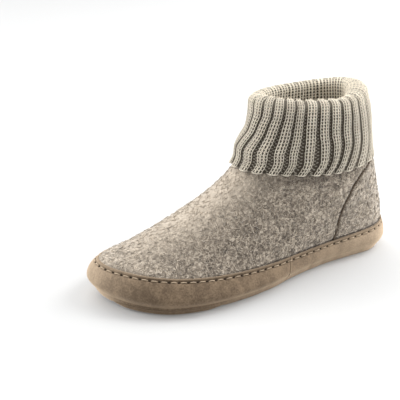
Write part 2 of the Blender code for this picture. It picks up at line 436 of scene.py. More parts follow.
# %% Trees that set yarn on points
class YarnTree(Nodes):
    """A Geometry Nodes tree with named sizes, which ends in a plain mesh with its finish."""

    def __init__(self, name, sizes):
        super().__init__(bpy.data.node_groups.new(name, "GeometryNodeTree"))
        face = self.tree.interface
        face.new_socket("Geometry", in_out="INPUT", socket_type="NodeSocketGeometry")
        for label in sizes:
            face.new_socket(label, in_out="INPUT", socket_type="NodeSocketFloat")
        face.new_socket("Finish", in_out="INPUT", socket_type="NodeSocketMaterial")
        face.new_socket("Geometry", in_out="OUTPUT", socket_type="NodeSocketGeometry")
        self.inlet = self.tree.nodes.new("NodeGroupInput")
        self.outlet = self.tree.nodes.new("NodeGroupOutput")

    def size(self, label):
        """One of the tree's named inputs."""
        return self.read(self.inlet, label)

    def point(self, x, y, z):
        """A point from three numbers."""
        return self.read(self.add("ShaderNodeCombineXYZ", None, {"X": x, "Y": y, "Z": z}), "Vector")

    def yarn(self, start, middle, end, radius, sides, steps, taper):
        """A bent yarn through three points."""
        sockets = {"Resolution": steps, "Start": start, "Middle": middle, "End": end}
        path = self.add("GeometryNodeCurveQuadraticBezier", None, sockets)
        sockets = {"Resolution": sides, "Radius": radius}
        circle = self.add("GeometryNodeCurvePrimitiveCircle", None, sockets)
        along = self.read(self.add("GeometryNodeSplineParameter"), "Factor")
        swell = 1 - taper * (along * 2 - 1) ** 2.0
        sockets = {
            "Curve": self.read(path, "Curve"), "Profile Curve": self.read(circle, "Curve"),
            "Scale": swell, "Fill Caps": True,
        }
        return self.read(self.add("GeometryNodeCurveToMesh", None, sockets), "Mesh")

    def kept(self, name, kind):
        """What the host keeps on its points under a name."""
        node = self.add("GeometryNodeInputNamedAttribute", {"data_type": kind}, {"Name": name})
        return self.read(node, "Attribute")

    def chance(self, kind, low, high, seed):
        """A random value for each point."""
        sockets = {"Min": low, "Max": high, "Seed": seed}
        return self.read(self.add("FunctionNodeRandomValue", {"data_type": kind}, sockets), "Value")

    def set_down(self, points, shape, rotation, scale):
        """Copies of a shape on points, as one mesh with its finish."""
        sockets = {"Points": points, "Instance": shape, "Rotation": rotation, "Scale": scale}
        copies = self.read(self.add("GeometryNodeInstanceOnPoints", None, sockets), "Instances")
        real = self.read(self.add("GeometryNodeRealizeInstances", None, {"Geometry": copies}), "Geometry")
        soft = self.read(self.add("GeometryNodeSetShadeSmooth", None, {"Geometry": real}), "Geometry")
        sockets = {"Geometry": soft, "Material": self.size("Finish")}
        done = self.read(self.add("GeometryNodeSetMaterial", None, sockets), "Geometry")
        self.plug(self.outlet.inputs["Geometry"], done)

    def set_on_kept_points(self, shape, second_axis):
        """Copies on the host's own points, turned by the directions kept there."""
        axes = {"primary_axis": "Z", "secondary_axis": second_axis}
        sockets = {
            "Primary Axis": self.kept("face", "FLOAT_VECTOR"),
            "Secondary Axis": self.kept("along", "FLOAT_VECTOR"),
        }
        turned = self.read(self.add("FunctionNodeAxesToRotation", axes, sockets), "Rotation")
        self.set_down(self.read(self.inlet, "Geometry"), shape, turned, self.kept("scale", "FLOAT_VECTOR"))


# %% [markdown]
# A tree works through a modifier on a host mesh: the felt itself for wool fibres, or loose points
# that keep a direction, a scale and a tone for what is sewn or knitted. What it makes is copied
# into a plain mesh, and the host with its modifier is thrown away before the piece is given to the
# slipper.

# %% Growing a piece on a host
def grow(name, host, nodes, sizes, finish):
    """Dresses the slipper in the plain mesh that a tree makes on a host mesh."""
    holder = bpy.data.objects.new(name, host)
    scene.collection.objects.link(holder)
    modifier = holder.modifiers.new("grow", "NODES")
    modifier.node_group = nodes.tree
    wanted = dict(sizes, Finish=finish)
    for item in nodes.tree.interface.items_tree:
        if item.in_out == "INPUT" and item.name in wanted:
            modifier[item.identifier] = wanted[item.name]
    graph = bpy.context.evaluated_depsgraph_get()
    grown = holder.evaluated_get(graph)
    mesh = bpy.data.meshes.new_from_object(grown, preserve_all_data_layers=True, depsgraph=graph)
    bpy.data.objects.remove(holder)
    mesh.name = name
    piece = bpy.data.objects.new(name, mesh)
    scene.collection.objects.link(piece)
    dress(piece, None)


def point_host(points, face, along, scale, tone):
    """Loose points that keep the directions, scale and tone of what is set on them."""
    points = np.reshape(points, (-1, 3))
    host = bpy.data.meshes.new("points")
    host.from_pydata(points.tolist(), [], [])
    for name, vectors in (("face", face), ("along", along), ("scale", scale)):
        keep_attribute(host, name, np.reshape(vectors, (-1, 3)))
    keep_attribute(host, "tone", np.broadcast_to(tone, len(points)))
    return host


# %% A single bar of yarn
bar_tree = YarnTree("yarn_bars", ("Length", "Radius", "Rise", "Dip"))
half_bar = bar_tree.size("Length") * 0.5
bar_dip = bar_tree.size("Dip")
bar = bar_tree.yarn(
    bar_tree.point(half_bar * -1, 0.0, bar_dip * -1),
    bar_tree.point(0.0, 0.0, bar_tree.size("Rise") * 2 + bar_dip),
    bar_tree.point(half_bar, 0.0, bar_dip * -1),
    bar_tree.size("Radius"), sides=5, steps=4, taper=0.35,
)
bar_tree.set_on_kept_points(bar, "X")
print("bar tree has", len(bar_tree.tree.nodes), "nodes")

# %% [markdown]
# ## Felt
# Boiled wool is a mat of curly fibres in a lighter and a darker greige. Seen close, pale curls lie
# over dark gaps. A noise that is folded at its middle gives thin winding ridges like those curls,
# and a finer noise gives the specks between them. Together with broad clouds they choose the
# colour, and the specks also drive the bump. Two masks on the felt then paint light and shade: one
# paints light on the top of the vamp, the toe and the heel, where light falls on them, and the other
# darkens the heel seam and paints shade along the band's top edge and under the cuff's hem.

# %% Felt finish
FELT_LIGHT = (0.538, 0.466, 0.377, 1)
FELT_MIDDLE = (0.252, 0.210, 0.166, 1)
FELT_DARK = (0.089, 0.071, 0.055, 1)
FELT_PAINTED_LIGHT = (0.585, 0.504, 0.407, 1)
FELT_SEAM_AND_SHADE = (0.045, 0.034, 0.026, 1)
FELT_FUZZ = (1.0, 0.94, 0.86, 1)
FELT_SHARES = {"curls": 0.35, "specks": 0.65, "clouds": 0.15}
DARK_TO_MIDDLE = (0.50, 0.62)
MIDDLE_TO_LIGHT = (0.64, 0.74)


def felt_finish(name, light, middle, dark):
    """Boiled wool: pale curls over dark gaps."""
    felt = Finish(name, roughness=0.95, sheen=0.8, sheen_tint=FELT_FUZZ)
    curls = 1 - abs(felt.noise(340, distortion=1.2) * 2 - 1)
    specks = felt.noise(430, detail=3.0, distortion=0.6)
    clouds = felt.noise(60, detail=3.0) - 0.5
    mat = curls * FELT_SHARES["curls"] + specks * FELT_SHARES["specks"] + clouds * FELT_SHARES["clouds"]
    colour = felt.mix(felt.steps(mat, *DARK_TO_MIDDLE), dark, middle)
    colour = felt.mix(felt.steps(mat, *MIDDLE_TO_LIGHT), colour, light)
    # Painted light from the pale mask: lighter felt and a calmer bump where light falls.
    colour = felt.mix(felt.attribute("pale"), colour, FELT_PAINTED_LIGHT)
    # The dark heel seam, and painted shade along the band's edge and under the hem, from the seam mask.
    colour = felt.mix(felt.attribute("seam"), colour, FELT_SEAM_AND_SHADE)
    height = specks * (1 - felt.attribute("pale"))
    return felt.finish(colour, height, distance=0.0005, strength=0.4)


wool_felt = felt_finish("wool_felt", FELT_LIGHT, FELT_MIDDLE, FELT_DARK)
print("felt finish has", len(wool_felt.node_tree.nodes), "nodes")

# %% [markdown]
# ## The upper
# The felt wall runs from the edge of the sole to its top under the cuff. Its heel piece is joined
# by a seam that climbs from the band and bends back to the heel on each side. The seam and the soft
# creases are lines on the last, given by place and level, and each presses the felt in or lifts it
# by a bell curve of the distance to its line.

# %% Lines on the felt
SEAM_COLUMNS = ("level", "place")
HEEL_SEAM = (
    (1.6, 0.250),
    (2.9, 0.263),
    (3.5, 0.280),
    (4.2, 0.296),
    (4.7, 0.297),
    (5.1, 0.292),
    (5.4, 0.266),
    (5.6, 0.234),
    (5.75, 0.188),
    (6.0, 0.100),
)
AROUND_STEPS = 1600


def last_line(levels, places):
    """Points on the last along a line of levels and places."""
    around = np.arange(AROUND_STEPS) * 2 / AROUND_STEPS
    steps = [int(round(place / 2 * AROUND_STEPS)) % AROUND_STEPS for place in places]
    return centred(np.array([ring(level, around)[step] for level, step in zip(levels, steps)]))


def seam_line(side, steps):
    """The heel seam on the outer or the inner side."""
    table = np.arange(len(HEEL_SEAM))
    where = np.linspace(0, len(HEEL_SEAM) - 1, steps)
    levels = smooth(table, column(HEEL_SEAM, SEAM_COLUMNS, "level"), where)
    places = smooth(table, column(HEEL_SEAM, SEAM_COLUMNS, "place"), where)
    if side == "inner":
        places = 2 - places
    return last_line(levels, places)


def distance_to_line(points, line):
    """Distance of each point to the nearest point of a line."""
    nearest = np.full(points.shape[:-1], np.inf)
    for spot in line:
        nearest = np.minimum(nearest, np.linalg.norm(points - spot, axis=-1))
    return nearest


def bell(distance, width):
    """1 at no distance, and a soft fall to 0 over about two widths."""
    return np.exp(-((distance / width) ** 2))


# %% Creases and lumps of the felt
UPPER_COLUMNS = 600
UPPER_ROWS = 121
UPPER_LEVELS = np.linspace(0, LEVEL_OF["felt top"], UPPER_ROWS)
CREASE_COLUMNS = ("first place", "first level", "last place", "last level", "width", "depth")
CREASES = (
    (0.97, 5.35, 0.72, 5.05, 0.0140, -0.0006),
    (0.66, 5.80, 0.52, 3.70, 0.0080, -0.0008),
    (0.56, 5.80, 0.44, 3.30, 0.0075, 0.0007),
    (0.36, 5.60, 0.38, 3.00, 0.0060, 0.0005),
    (0.88, 3.70, 0.62, 2.70, 0.0085, -0.0005),
    (0.97, 3.00, 0.86, 2.50, 0.0080, 0.0005),
    (0.04, 5.20, 0.20, 4.10, 0.0080, -0.0006),
    (1.03, 5.35, 1.30, 5.05, 0.0140, -0.0006),
    (1.34, 5.80, 1.48, 3.70, 0.0080, -0.0008),
    (1.45, 5.80, 1.58, 3.30, 0.0075, 0.0007),
    (1.14, 3.70, 1.40, 2.70, 0.0085, -0.0005),
    (1.96, 5.20, 1.80, 4.10, 0.0080, -0.0006),
)
CREASE_STEPS = 24
LUMP = 0.00035
LUMP_SCALE = 55.0
PIMPLE = 0.00008
PIMPLE_SCALE = 420.0
FREE_FROM = (2.0, 2.7)
FREE_TO = (5.7, 6.3)
RIDGE_SPAN = 0.10
RIDGE_CALM = 0.75

upper_places = np.arange(UPPER_COLUMNS) * 2 / UPPER_COLUMNS
felt_face = np.array([centred(ring(level, upper_places)) for level in UPPER_LEVELS])
felt_normals = grid_normals(felt_face)
relief = np.zeros(felt_face.shape[:2])
for crease in CREASES:
    row = dict(zip(CREASE_COLUMNS, crease))
    levels = np.linspace(row["first level"], row["last level"], CREASE_STEPS)
    places = np.linspace(row["first place"], row["last place"], CREASE_STEPS)
    away = distance_to_line(felt_face, last_line(levels, places))
    relief += row["depth"] * bell(away, row["width"])
for index in np.ndindex(relief.shape):
    spot = Vector(felt_face[index])
    relief[index] += LUMP * noise.noise(spot * LUMP_SCALE) + PIMPLE * noise.noise(spot * PIMPLE_SCALE)
free = soft_step(UPPER_LEVELS, *FREE_FROM) * (1 - soft_step(UPPER_LEVELS, *FREE_TO))
relief *= free[:, None] * (1 - RIDGE_CALM * bell(upper_places - 1, RIDGE_SPAN))
print("felt relief from", relief.min().round(5), "to", relief.max().round(5), "m")

# %% Seam and lower edge of the felt
SEAM_STEPS = 260
SEAM_WIDTH = 0.0017
SEAM_DEPTH = 0.0009
SEAM_LIP = 0.0002
SEAM_LIP_AT = 2.2
SEAM_DARK = 0.7
EDGE_LINE = 0.0010
EDGE_LINE_DEPTH = 0.0008
EDGE_LINE_PAINTED_SHADE = 0.9
EDGE_LINE_FADE = 0.75
EDGE_LINE_FADES = (0.42, 0.75)


def to_toe(places):
    """0 at the heel and 1 at the toe, along either side."""
    return 1 - np.abs(places - 1)


seam_lines = {side: seam_line(side, SEAM_STEPS) for side in ("outer", "inner")}
seam_and_shade_mask = np.zeros(relief.shape)
for line in seam_lines.values():
    away = distance_to_line(felt_face, line)
    lip = SEAM_LIP * bell(away - SEAM_LIP_AT * SEAM_WIDTH, SEAM_WIDTH)
    relief += lip - SEAM_DEPTH * bell(away, SEAM_WIDTH)
    seam_and_shade_mask = np.maximum(seam_and_shade_mask, bell(away, SEAM_DARK * SEAM_WIDTH))
climb = lengths_along(felt_face)
edge_row = np.argmin(np.abs(UPPER_LEVELS - LEVEL_OF["band top"]))
# Painted shade along the band's top edge, where its shadow falls, over a shallow groove pressed in.
edge_line = bell(climb - climb[edge_row] - EDGE_LINE, EDGE_LINE)
edge_line *= 1 - EDGE_LINE_FADE * soft_step(to_toe(upper_places), *EDGE_LINE_FADES)
relief -= EDGE_LINE_DEPTH * edge_line
seam_and_shade_mask = np.maximum(seam_and_shade_mask, EDGE_LINE_PAINTED_SHADE * edge_line)
print("seam on each side is", (lengths_along(seam_lines["outer"])[-1] * 1000).round(), "mm long")

# %% The felt wall
FELT_THICKNESS = 0.0030
INNER_STEP = 6

felt_outside = felt_face + relief[..., None] * felt_normals
felt_inside = (felt_face - FELT_THICKNESS * felt_normals)[::-INNER_STEP]
felt_top = rim(felt_outside[-1], felt_inside[0], unit(felt_outside[-1] - felt_outside[-2]), steps=4)
felt_foot = rim(felt_inside[-1], felt_outside[0], DOWN, steps=2)
felt_rows = np.concatenate((felt_outside, felt_top, felt_inside, felt_foot))
felt_upper = add_piece("felt_upper", felt_rows, grid_faces(len(felt_rows), UPPER_COLUMNS), wool_felt)

# %% Masks of the felt
HEM_SHADE = 0.45
HEM_SHADE_LEVELS = (5.45, 5.95)
HEM_SHADE_AT = 0.58
HEM_SHADE_SPAN = 0.20
NAP_FROM = (1.95, 2.1)
NAP_TO = (6.0, 6.2)
NAP_BARE = (0.5, 0.9)
FELT_PAINTED_LIGHT_TOE = 0.30
FELT_PAINTED_LIGHT_VAMP = 0.37
FELT_PAINTED_LIGHT_LEVELS = (2.8, 4.6)
FELT_PAINTED_LIGHT_SPAN = 0.165
FELT_PAINTED_LIGHT_HEEL = 0.22
FELT_PAINTED_LIGHT_HEEL_SPAN = 0.20

# Painted shade on the felt under the cuff's hem, where the hem throws its shadow.
hem_levels = soft_step(UPPER_LEVELS, *HEM_SHADE_LEVELS)
hem_shade = HEM_SHADE * hem_levels[:, None] * bell(to_toe(upper_places) - HEM_SHADE_AT, HEM_SHADE_SPAN)
seam_and_shade_mask = np.maximum(seam_and_shade_mask, hem_shade)
nap_levels = soft_step(UPPER_LEVELS, *NAP_FROM) * (1 - soft_step(UPPER_LEVELS, *NAP_TO))
nap_mask = nap_levels[:, None] * (1 - soft_step(seam_and_shade_mask, *NAP_BARE))
# Painted light: the top of the vamp, the toe and the heel are lightened where light falls on them.
painted_light_levels = FELT_PAINTED_LIGHT_TOE + FELT_PAINTED_LIGHT_VAMP * soft_step(UPPER_LEVELS, *FELT_PAINTED_LIGHT_LEVELS)
painted_light_mask = painted_light_levels[:, None] * bell(upper_places - 1, FELT_PAINTED_LIGHT_SPAN)
painted_light_mask += FELT_PAINTED_LIGHT_HEEL * bell(to_toe(upper_places), FELT_PAINTED_LIGHT_HEEL_SPAN)
unseen = np.zeros((len(felt_rows) - len(felt_outside), UPPER_COLUMNS))
for name, mask in (("seam", seam_and_shade_mask), ("nap", nap_mask), ("pale", painted_light_mask)):
    keep_attribute(felt_upper.data, name, np.concatenate((mask, unseen)).ravel())
dress(felt_upper, "upper")

# %% [markdown]
# ## Curls on the felt
# A bump can't break the outline, and the edge of boiled wool is fuzzy. So thousands of short curled
# fibres are scattered over the felt that shows. Each lies nearly flat, turned at random with a
# fixed seed, and keeps a tone so that pale and dark wool mix. The same tree then sets down longer,
# much finer fibres that rise a little more: the loose fuzz along the outline.

# %% Wool curls
CURL_SEED = 4
CURL_BEND = 1.6
CURL_HOOK = 0.2
CURL_ROOT = -0.0002
CURL_TIP = -0.0001
CURL_TILT = 0.2
CURL_SPANS = (0.55, 1.3)

curl_tree = YarnTree("wool_curls", ("Density", "Length", "Radius", "Rise"))
reach = curl_tree.size("Length") * 0.5
curl = curl_tree.yarn(
    curl_tree.point(reach * -1, 0.0, CURL_ROOT),
    curl_tree.point(0.0, reach * CURL_BEND, curl_tree.size("Rise") * 2),
    curl_tree.point(reach, reach * CURL_HOOK, CURL_TIP),
    curl_tree.size("Radius"), sides=3, steps=3, taper=0.75,
)
sockets = {
    "Mesh": curl_tree.read(curl_tree.inlet, "Geometry"),
    "Density": curl_tree.size("Density") * curl_tree.kept("nap", "FLOAT"),
    "Seed": CURL_SEED,
}
scatter = curl_tree.add("GeometryNodeDistributePointsOnFaces", None, sockets)
low_turn = (-CURL_TILT, -CURL_TILT, 0.0)
high_turn = (CURL_TILT, CURL_TILT, math.tau)
sockets = {"Euler": curl_tree.chance("FLOAT_VECTOR", low_turn, high_turn, seed=1)}
spin = curl_tree.add("FunctionNodeEulerToRotation", None, sockets)
sockets = {"Rotation": curl_tree.read(scatter, "Rotation"), "Rotate By": curl_tree.read(spin, "Rotation")}
turned = curl_tree.add("FunctionNodeRotateRotation", {"rotation_space": "LOCAL"}, sockets)
sockets = {
    "Geometry": curl_tree.read(scatter, "Points"), "Name": "tone",
    "Value": curl_tree.chance("FLOAT", 0.0, 1.0, seed=3),
}
toned = curl_tree.add("GeometryNodeStoreNamedAttribute", {"data_type": "FLOAT", "domain": "POINT"}, sockets)
curl_tree.set_down(
    curl_tree.read(toned, "Geometry"), curl, curl_tree.read(turned, "Rotation"),
    curl_tree.chance("FLOAT", *CURL_SPANS, seed=2),
)
print("curl tree has", len(curl_tree.tree.nodes), "nodes")

# %% Curls and loose fibres
CURL_LIGHT = (0.673, 0.584, 0.474, 1)
CURL_DARK = (0.112, 0.091, 0.071, 1)
CURL_MIX = (0.25, 0.70)
CURL_SIZES = {"Density": 310000.0, "Length": 0.0034, "Radius": 0.00024, "Rise": 0.00025}
FUZZ_SIZES = {"Density": 57000.0, "Length": 0.0042, "Radius": 0.00007, "Rise": 0.0010}

wool = Finish("wool_curl", roughness=0.9, sheen=0.8, sheen_tint=FELT_FUZZ)
wool_colour = wool.mix(wool.steps(wool.attribute("tone"), *CURL_MIX), CURL_DARK, CURL_LIGHT)
# Painted light from the pale mask, as on the felt.
wool_colour = wool.mix(wool.attribute("pale"), wool_colour, FELT_PAINTED_LIGHT)
# The dark seam and painted shade from the seam mask, as on the felt.
wool_colour = wool.mix(wool.attribute("seam"), wool_colour, FELT_SEAM_AND_SHADE)
wool_curl = wool.finish(wool_colour, wool.noise(2500), distance=0.0001, strength=0.3)
for name, sizes in (("felt_nap", CURL_SIZES), ("felt_fuzz", FUZZ_SIZES)):
    grow(name, felt_upper.data.copy(), curl_tree, sizes, wool_curl)

# %% [markdown]
# ## Seam thread
# In the groove of the heel seam lies a row of short dark stitches. They are bars of yarn on points
# along the seam's line, each turned along the line and facing out of the felt. A dark line on the
# felt would do from afar, but it would show no thread from close by.

# %% Thread and stitches
def thread_finish(name, roughness, sheen, dark, light, tones=900, strands=1500):
    """Twisted thread, with so many tones and strands to a metre."""
    thread = Finish(name, roughness, sheen)
    colour = thread.mix(thread.noise(tones), dark, light)
    return thread.finish(colour, thread.noise(strands), distance=0.0002, strength=0.5)


def sew(name, spots, ways, faces, bar_sizes, finish, scale=1.0):
    """Bars of yarn on spots, each along its way and facing out."""
    scales = np.repeat(np.broadcast_to(scale, len(spots))[:, None], 3, axis=1)
    host = point_host(spots, faces, ways, scales, 0.0)
    grow(name, host, bar_tree, bar_sizes, finish)


def points_at(line, along, wanted):
    """Points of a line at lengths along it."""
    return np.stack([np.interp(wanted, along, line[:, axis]) for axis in range(3)], axis=-1)


# %% Heel seam stitches
SEAM_PITCH = 0.0024
SEAM_SINK = 0.0004
SEAM_BAR = {"Length": 0.0025, "Radius": 0.0011, "Rise": 0.0003, "Dip": 0.0002}
SEAM_THREAD_DARK = (0.064, 0.047, 0.033, 1)
SEAM_THREAD_LIGHT = (0.155, 0.116, 0.082, 1)


def even_points(line, spacing):
    """Points evenly spaced along a line, with the line's direction there."""
    along = lengths_along(line)
    points = points_at(line, along, np.arange(spacing / 2, along[-1], spacing))
    return points, unit(np.gradient(points, axis=0))


def nearest_normals(points):
    """Normals of the felt at the grid points nearest to some points."""
    flat = felt_face.reshape(-1, 3)
    picks = [np.argmin(np.linalg.norm(flat - point, axis=1)) for point in points]
    return felt_normals.reshape(-1, 3)[picks]


seam_thread = thread_finish(
    "seam_thread", roughness=0.85, sheen=0.1, dark=SEAM_THREAD_DARK, light=SEAM_THREAD_LIGHT,
    tones=700, strands=1800,
)
spots, ways = zip(*(even_points(line, SEAM_PITCH) for line in seam_lines.values()))
spots = np.concatenate(spots)
faces = nearest_normals(spots)
spots = spots - SEAM_SINK * faces
sew("heel_seam_stitches", spots, np.concatenate(ways), faces, SEAM_BAR, seam_thread)

# %% [markdown]
# ## The suede band
# The band is one strip of suede round the foot, butted on the outer side. A saddle stitch runs a
# few millimetres under its top edge: an awl makes a hole, and the thread lies between one hole and
# the next. Pulling the thread tight draws the suede in along the line and into each hole. The line,
# the holes and the soft wrinkles are pressed into a fine grid, so they are real dents. At the sides
# and the heel the band reaches down over the sole's edge.

# %% Suede finish
SUEDE_LIGHT = (0.226, 0.161, 0.103, 1)
SUEDE_DARK = (0.104, 0.072, 0.046, 1)
SUEDE_CUT = (0.215, 0.160, 0.109, 1)
SUEDE_PAINTED_LIGHT = (0.480, 0.368, 0.258, 1)
SUEDE_PAINTED_LIGHT_DARK = (0.340, 0.260, 0.182, 1)
SUEDE_HOLE_SHADE = (0.018, 0.011, 0.007, 1)
SUEDE_NAP = (0.85, 0.66, 0.47, 1)
SUEDE_SHARES = {"clouds": 0.26, "streaks": 0.32, "nap": 0.42}
SUEDE_GRAIN = (0.38, 0.62)
CLOUD_BUMP = 0.6


def suede_finish(name, light, dark):
    """Brushed suede: a fine nap, cloudy tone, painted light at its ends and painted shade in its holes."""
    finish = Finish(name, roughness=0.9, sheen=0.85, sheen_tint=SUEDE_NAP)
    nap = finish.noise(800, detail=3.0, distortion=0.3)
    clouds = finish.noise(45, detail=4.0, distortion=0.6)
    streaks = finish.noise(160, detail=3.0, distortion=0.2, stretch=(1.0, 1.0, 0.25))
    tone = clouds * SUEDE_SHARES["clouds"] + streaks * SUEDE_SHARES["streaks"] + nap * SUEDE_SHARES["nap"]
    grain = finish.steps(tone, *SUEDE_GRAIN)
    # Painted light: a paler suede for the toe tip and the heel, where light and sheen fall on them.
    painted_light_colour = finish.mix(grain, SUEDE_PAINTED_LIGHT_DARK, SUEDE_PAINTED_LIGHT)
    colour = finish.mix(finish.attribute("painted_end_light"), finish.mix(grain, dark, light), painted_light_colour)
    colour = finish.mix(finish.attribute("cut"), colour, SUEDE_CUT)
    # Painted shade in the awl holes, beside the thread and on the lip above it.
    colour = finish.mix(finish.attribute("hole"), colour, SUEDE_HOLE_SHADE)
    return finish.finish(colour, nap + clouds * CLOUD_BUMP, distance=0.0003, strength=0.6)


suede = suede_finish("suede", SUEDE_LIGHT, SUEDE_DARK)
print("suede finish has", len(suede.node_tree.nodes), "nodes")

# %% Where the sole shows
STRIP_FROM = (0.60, 0.68)
STRIP_TO = (0.88, 0.96)


def strip_share(places):
    """1 beside the toe, where the sole's edge shows as a strip under the band, and 0 elsewhere."""
    share = to_toe(places)
    return soft_step(share, *STRIP_FROM) * (1 - soft_step(share, *STRIP_TO))


# %% Grid of the band
BAND_THICKNESS = 0.0018
BAND_COLUMNS = 840
BAND_ROWS = 49
BAND_FOOT = 0.2
BAND_THIN = 0.5
BAND_THIN_FROM = 1.5
JOINT_PLACE = 13 / 31
JOINT_GAP = 0.0008

band_places = (JOINT_PLACE + np.linspace(JOINT_GAP, 2 - JOINT_GAP, BAND_COLUMNS)) % 2
band_levels = np.linspace(BAND_FOOT, LEVEL_OF["band top"], BAND_ROWS)
thin = BAND_THIN * soft_step(band_levels, BAND_THIN_FROM, LEVEL_OF["band top"])
band_depths = GAP + BAND_THICKNESS * (1 - thin)


def band_row(level, depth):
    """The band's row at a level, so far outside the last."""
    return centred(spread(ring(level, band_places), depth))


band_wall = np.array([band_row(level, depth) for level, depth in zip(band_levels, band_depths)])
band_back = np.array([band_row(level, GAP) for level in band_levels[::-INNER_STEP]])

# %% Skirt of the band
SKIRT_ROWS = 8
SKIRT_SLOPE = 0.6
SKIRT_CLEARANCE = 0.0008
SKIRT_CUT = 0.75

strip = strip_share(band_places)
skirt = []
for share in np.linspace(1, 0, SKIRT_ROWS + 1)[:-1]:
    low = band_wall[0].copy()
    lowest = ground(low[:, 0] + LENGTH / 2) + SKIRT_CLEARANCE
    drop = share * (1 - SKIRT_CUT * strip) * (low[:, 2] - lowest)
    low[:, 2] -= drop
    skirt.append(spread(low, -SKIRT_SLOPE * (1 - strip) * drop))
band_face = np.concatenate((np.array(skirt), band_wall))
band_normals = grid_normals(band_face)
below_top = lengths_along(band_face[::-1])[::-1]
band_tall = below_top[0] * 1000
print("band is", band_tall.min().round(1), "to", band_tall.max().round(1), "mm tall")

# %% Stitch line
STITCH_DROP = 0.0025
STITCHES = 79
STITCH_PHASE = 0.5


def under_top(distance):
    """Line on the band at a distance under its top edge."""
    spots = np.arange(BAND_COLUMNS)
    row_numbers = np.arange(len(below_top))
    rows = np.array([np.interp(-distance, -below_top[:, spot], row_numbers) for spot in spots])
    low = np.clip(rows.astype(int), 0, len(below_top) - 2)
    share = (rows - low)[:, None]
    return band_face[low, spots] * (1 - share) + band_face[low + 1, spots] * share


stitch_line = under_top(STITCH_DROP)
stitch_along = lengths_along(stitch_line)
pitch = stitch_along[-1] / STITCHES
print("stitch pitch", (pitch * 1000).round(2), "mm")


def on_stitch_line(steps):
    """Points on the stitch line, directions along it and normals, at steps of the pitch."""
    wanted = np.asarray(steps) * pitch
    before, points, after = (
        points_at(stitch_line, stitch_along, wanted + shift) for shift in (-pitch / 4, 0, pitch / 4)
    )
    columns = np.interp(wanted, stitch_along, np.arange(BAND_COLUMNS)).round().astype(int)
    rows = np.argmin(np.abs(below_top[:, columns] - STITCH_DROP), axis=0)
    return points, unit(after - before), band_normals[rows, columns]


# %% Dents of the band
DRAWN_IN = 0.0006
DRAWN_WIDTH = 0.0009
HOLE_DEPTH = 0.0014
HOLE_RADIUS = 0.0008
LIP_SWELL = 0.00012
LIP_AT = 0.4 * STITCH_DROP
LIP_SPAN = 0.3 * STITCH_DROP
BAND_LUMP = 0.00022
BAND_LUMP_SCALES = np.array((60, 60, 25))
WRINKLE_FULL = 0.010
WRINKLE_COLUMNS = ("place", "width", "depth")
WRINKLES = (
    (0.335, 0.0026, -0.00022),
    (0.285, 0.0030, -0.00016),
    (0.500, 0.0034, -0.00016),
    (1.580, 0.0028, -0.00020),
    (1.690, 0.0026, -0.00020),
)

hole_steps = np.arange(STITCHES) + STITCH_PHASE
hole_distance = distance_to_line(band_face, on_stitch_line(hole_steps)[0])
dents = LIP_SWELL * bell(below_top - LIP_AT, LIP_SPAN)
dents -= DRAWN_IN * bell(below_top - STITCH_DROP, DRAWN_WIDTH)
dents -= HOLE_DEPTH * bell(hole_distance, HOLE_RADIUS)
for index in np.ndindex(dents.shape):
    dents[index] += BAND_LUMP * noise.noise(Vector(band_face[index] * BAND_LUMP_SCALES))
for wrinkle in WRINKLES:
    row = dict(zip(WRINKLE_COLUMNS, wrinkle))
    pinch = np.argmin(np.abs(band_places - row["place"]))
    away = np.linalg.norm(band_face[..., :2] - band_face[:, pinch : pinch + 1, :2], axis=-1)
    dents += row["depth"] * bell(away, row["width"]) * soft_step(below_top, STITCH_DROP, WRINKLE_FULL)
print("band dents from", dents.min().round(5), "to", dents.max().round(5), "m")

# %% The band
FOOT_THICKNESS = 0.0012

band_outside = band_face + dents[..., None] * band_normals
band_top = rim(band_outside[-1], band_back[0], unit(band_outside[-1] - band_outside[-2]), steps=5)
tucked_foot = spread(band_face[0], -FOOT_THICKNESS)
band_foot = rim(tucked_foot, band_outside[0], DOWN / 2, steps=3)
band_rows = np.concatenate((band_outside, band_top, band_back, tucked_foot[None], band_foot))
band_faces = grid_faces(len(band_rows), BAND_COLUMNS, columns_closed=False)
first_end = [row * BAND_COLUMNS for row in range(len(band_rows))]
last_end = [start + BAND_COLUMNS - 1 for start in first_end]
band_faces += [first_end, last_end[::-1]]
suede_band = add_piece("suede_band", band_rows, band_faces, suede)

# %% Masks of the band
CUT_EDGE = 0.0004
BAND_PAINTED_LIGHT_TOE = 0.88
BAND_PAINTED_LIGHT_TOE_AT = 1.02
BAND_PAINTED_LIGHT_TOE_SPAN = 0.11
BAND_PAINTED_LIGHT_HEEL_SPAN = 0.28
HOLE_SHADE = (0.8 * HOLE_RADIUS, 1.35 * HOLE_RADIUS)
LINE_SHADE = 0.28
LINE_SHADE_AT = 0.0009
LINE_SHADE_SPAN = 0.0005
LIP_SHADE = 0.34
LIP_FROM = (0.0003, 0.0008)
LIP_TO = (STITCH_DROP, STITCH_DROP + 0.0006)

unseen = np.zeros((len(band_rows) - len(band_outside), BAND_COLUMNS))
cut_edge = unseen.copy()
cut_edge[: len(band_top)] = 1.0
cut_face = soft_step(-below_top, -CUT_EDGE, 0.0)
# Painted light at the heel and the toe tip, which catch the most light.
painted_light_heel = bell(band_places, BAND_PAINTED_LIGHT_HEEL_SPAN) + bell(band_places - 2, BAND_PAINTED_LIGHT_HEEL_SPAN)
painted_end_light = np.minimum(1, BAND_PAINTED_LIGHT_TOE * bell(band_places - BAND_PAINTED_LIGHT_TOE_AT, BAND_PAINTED_LIGHT_TOE_SPAN) + painted_light_heel)
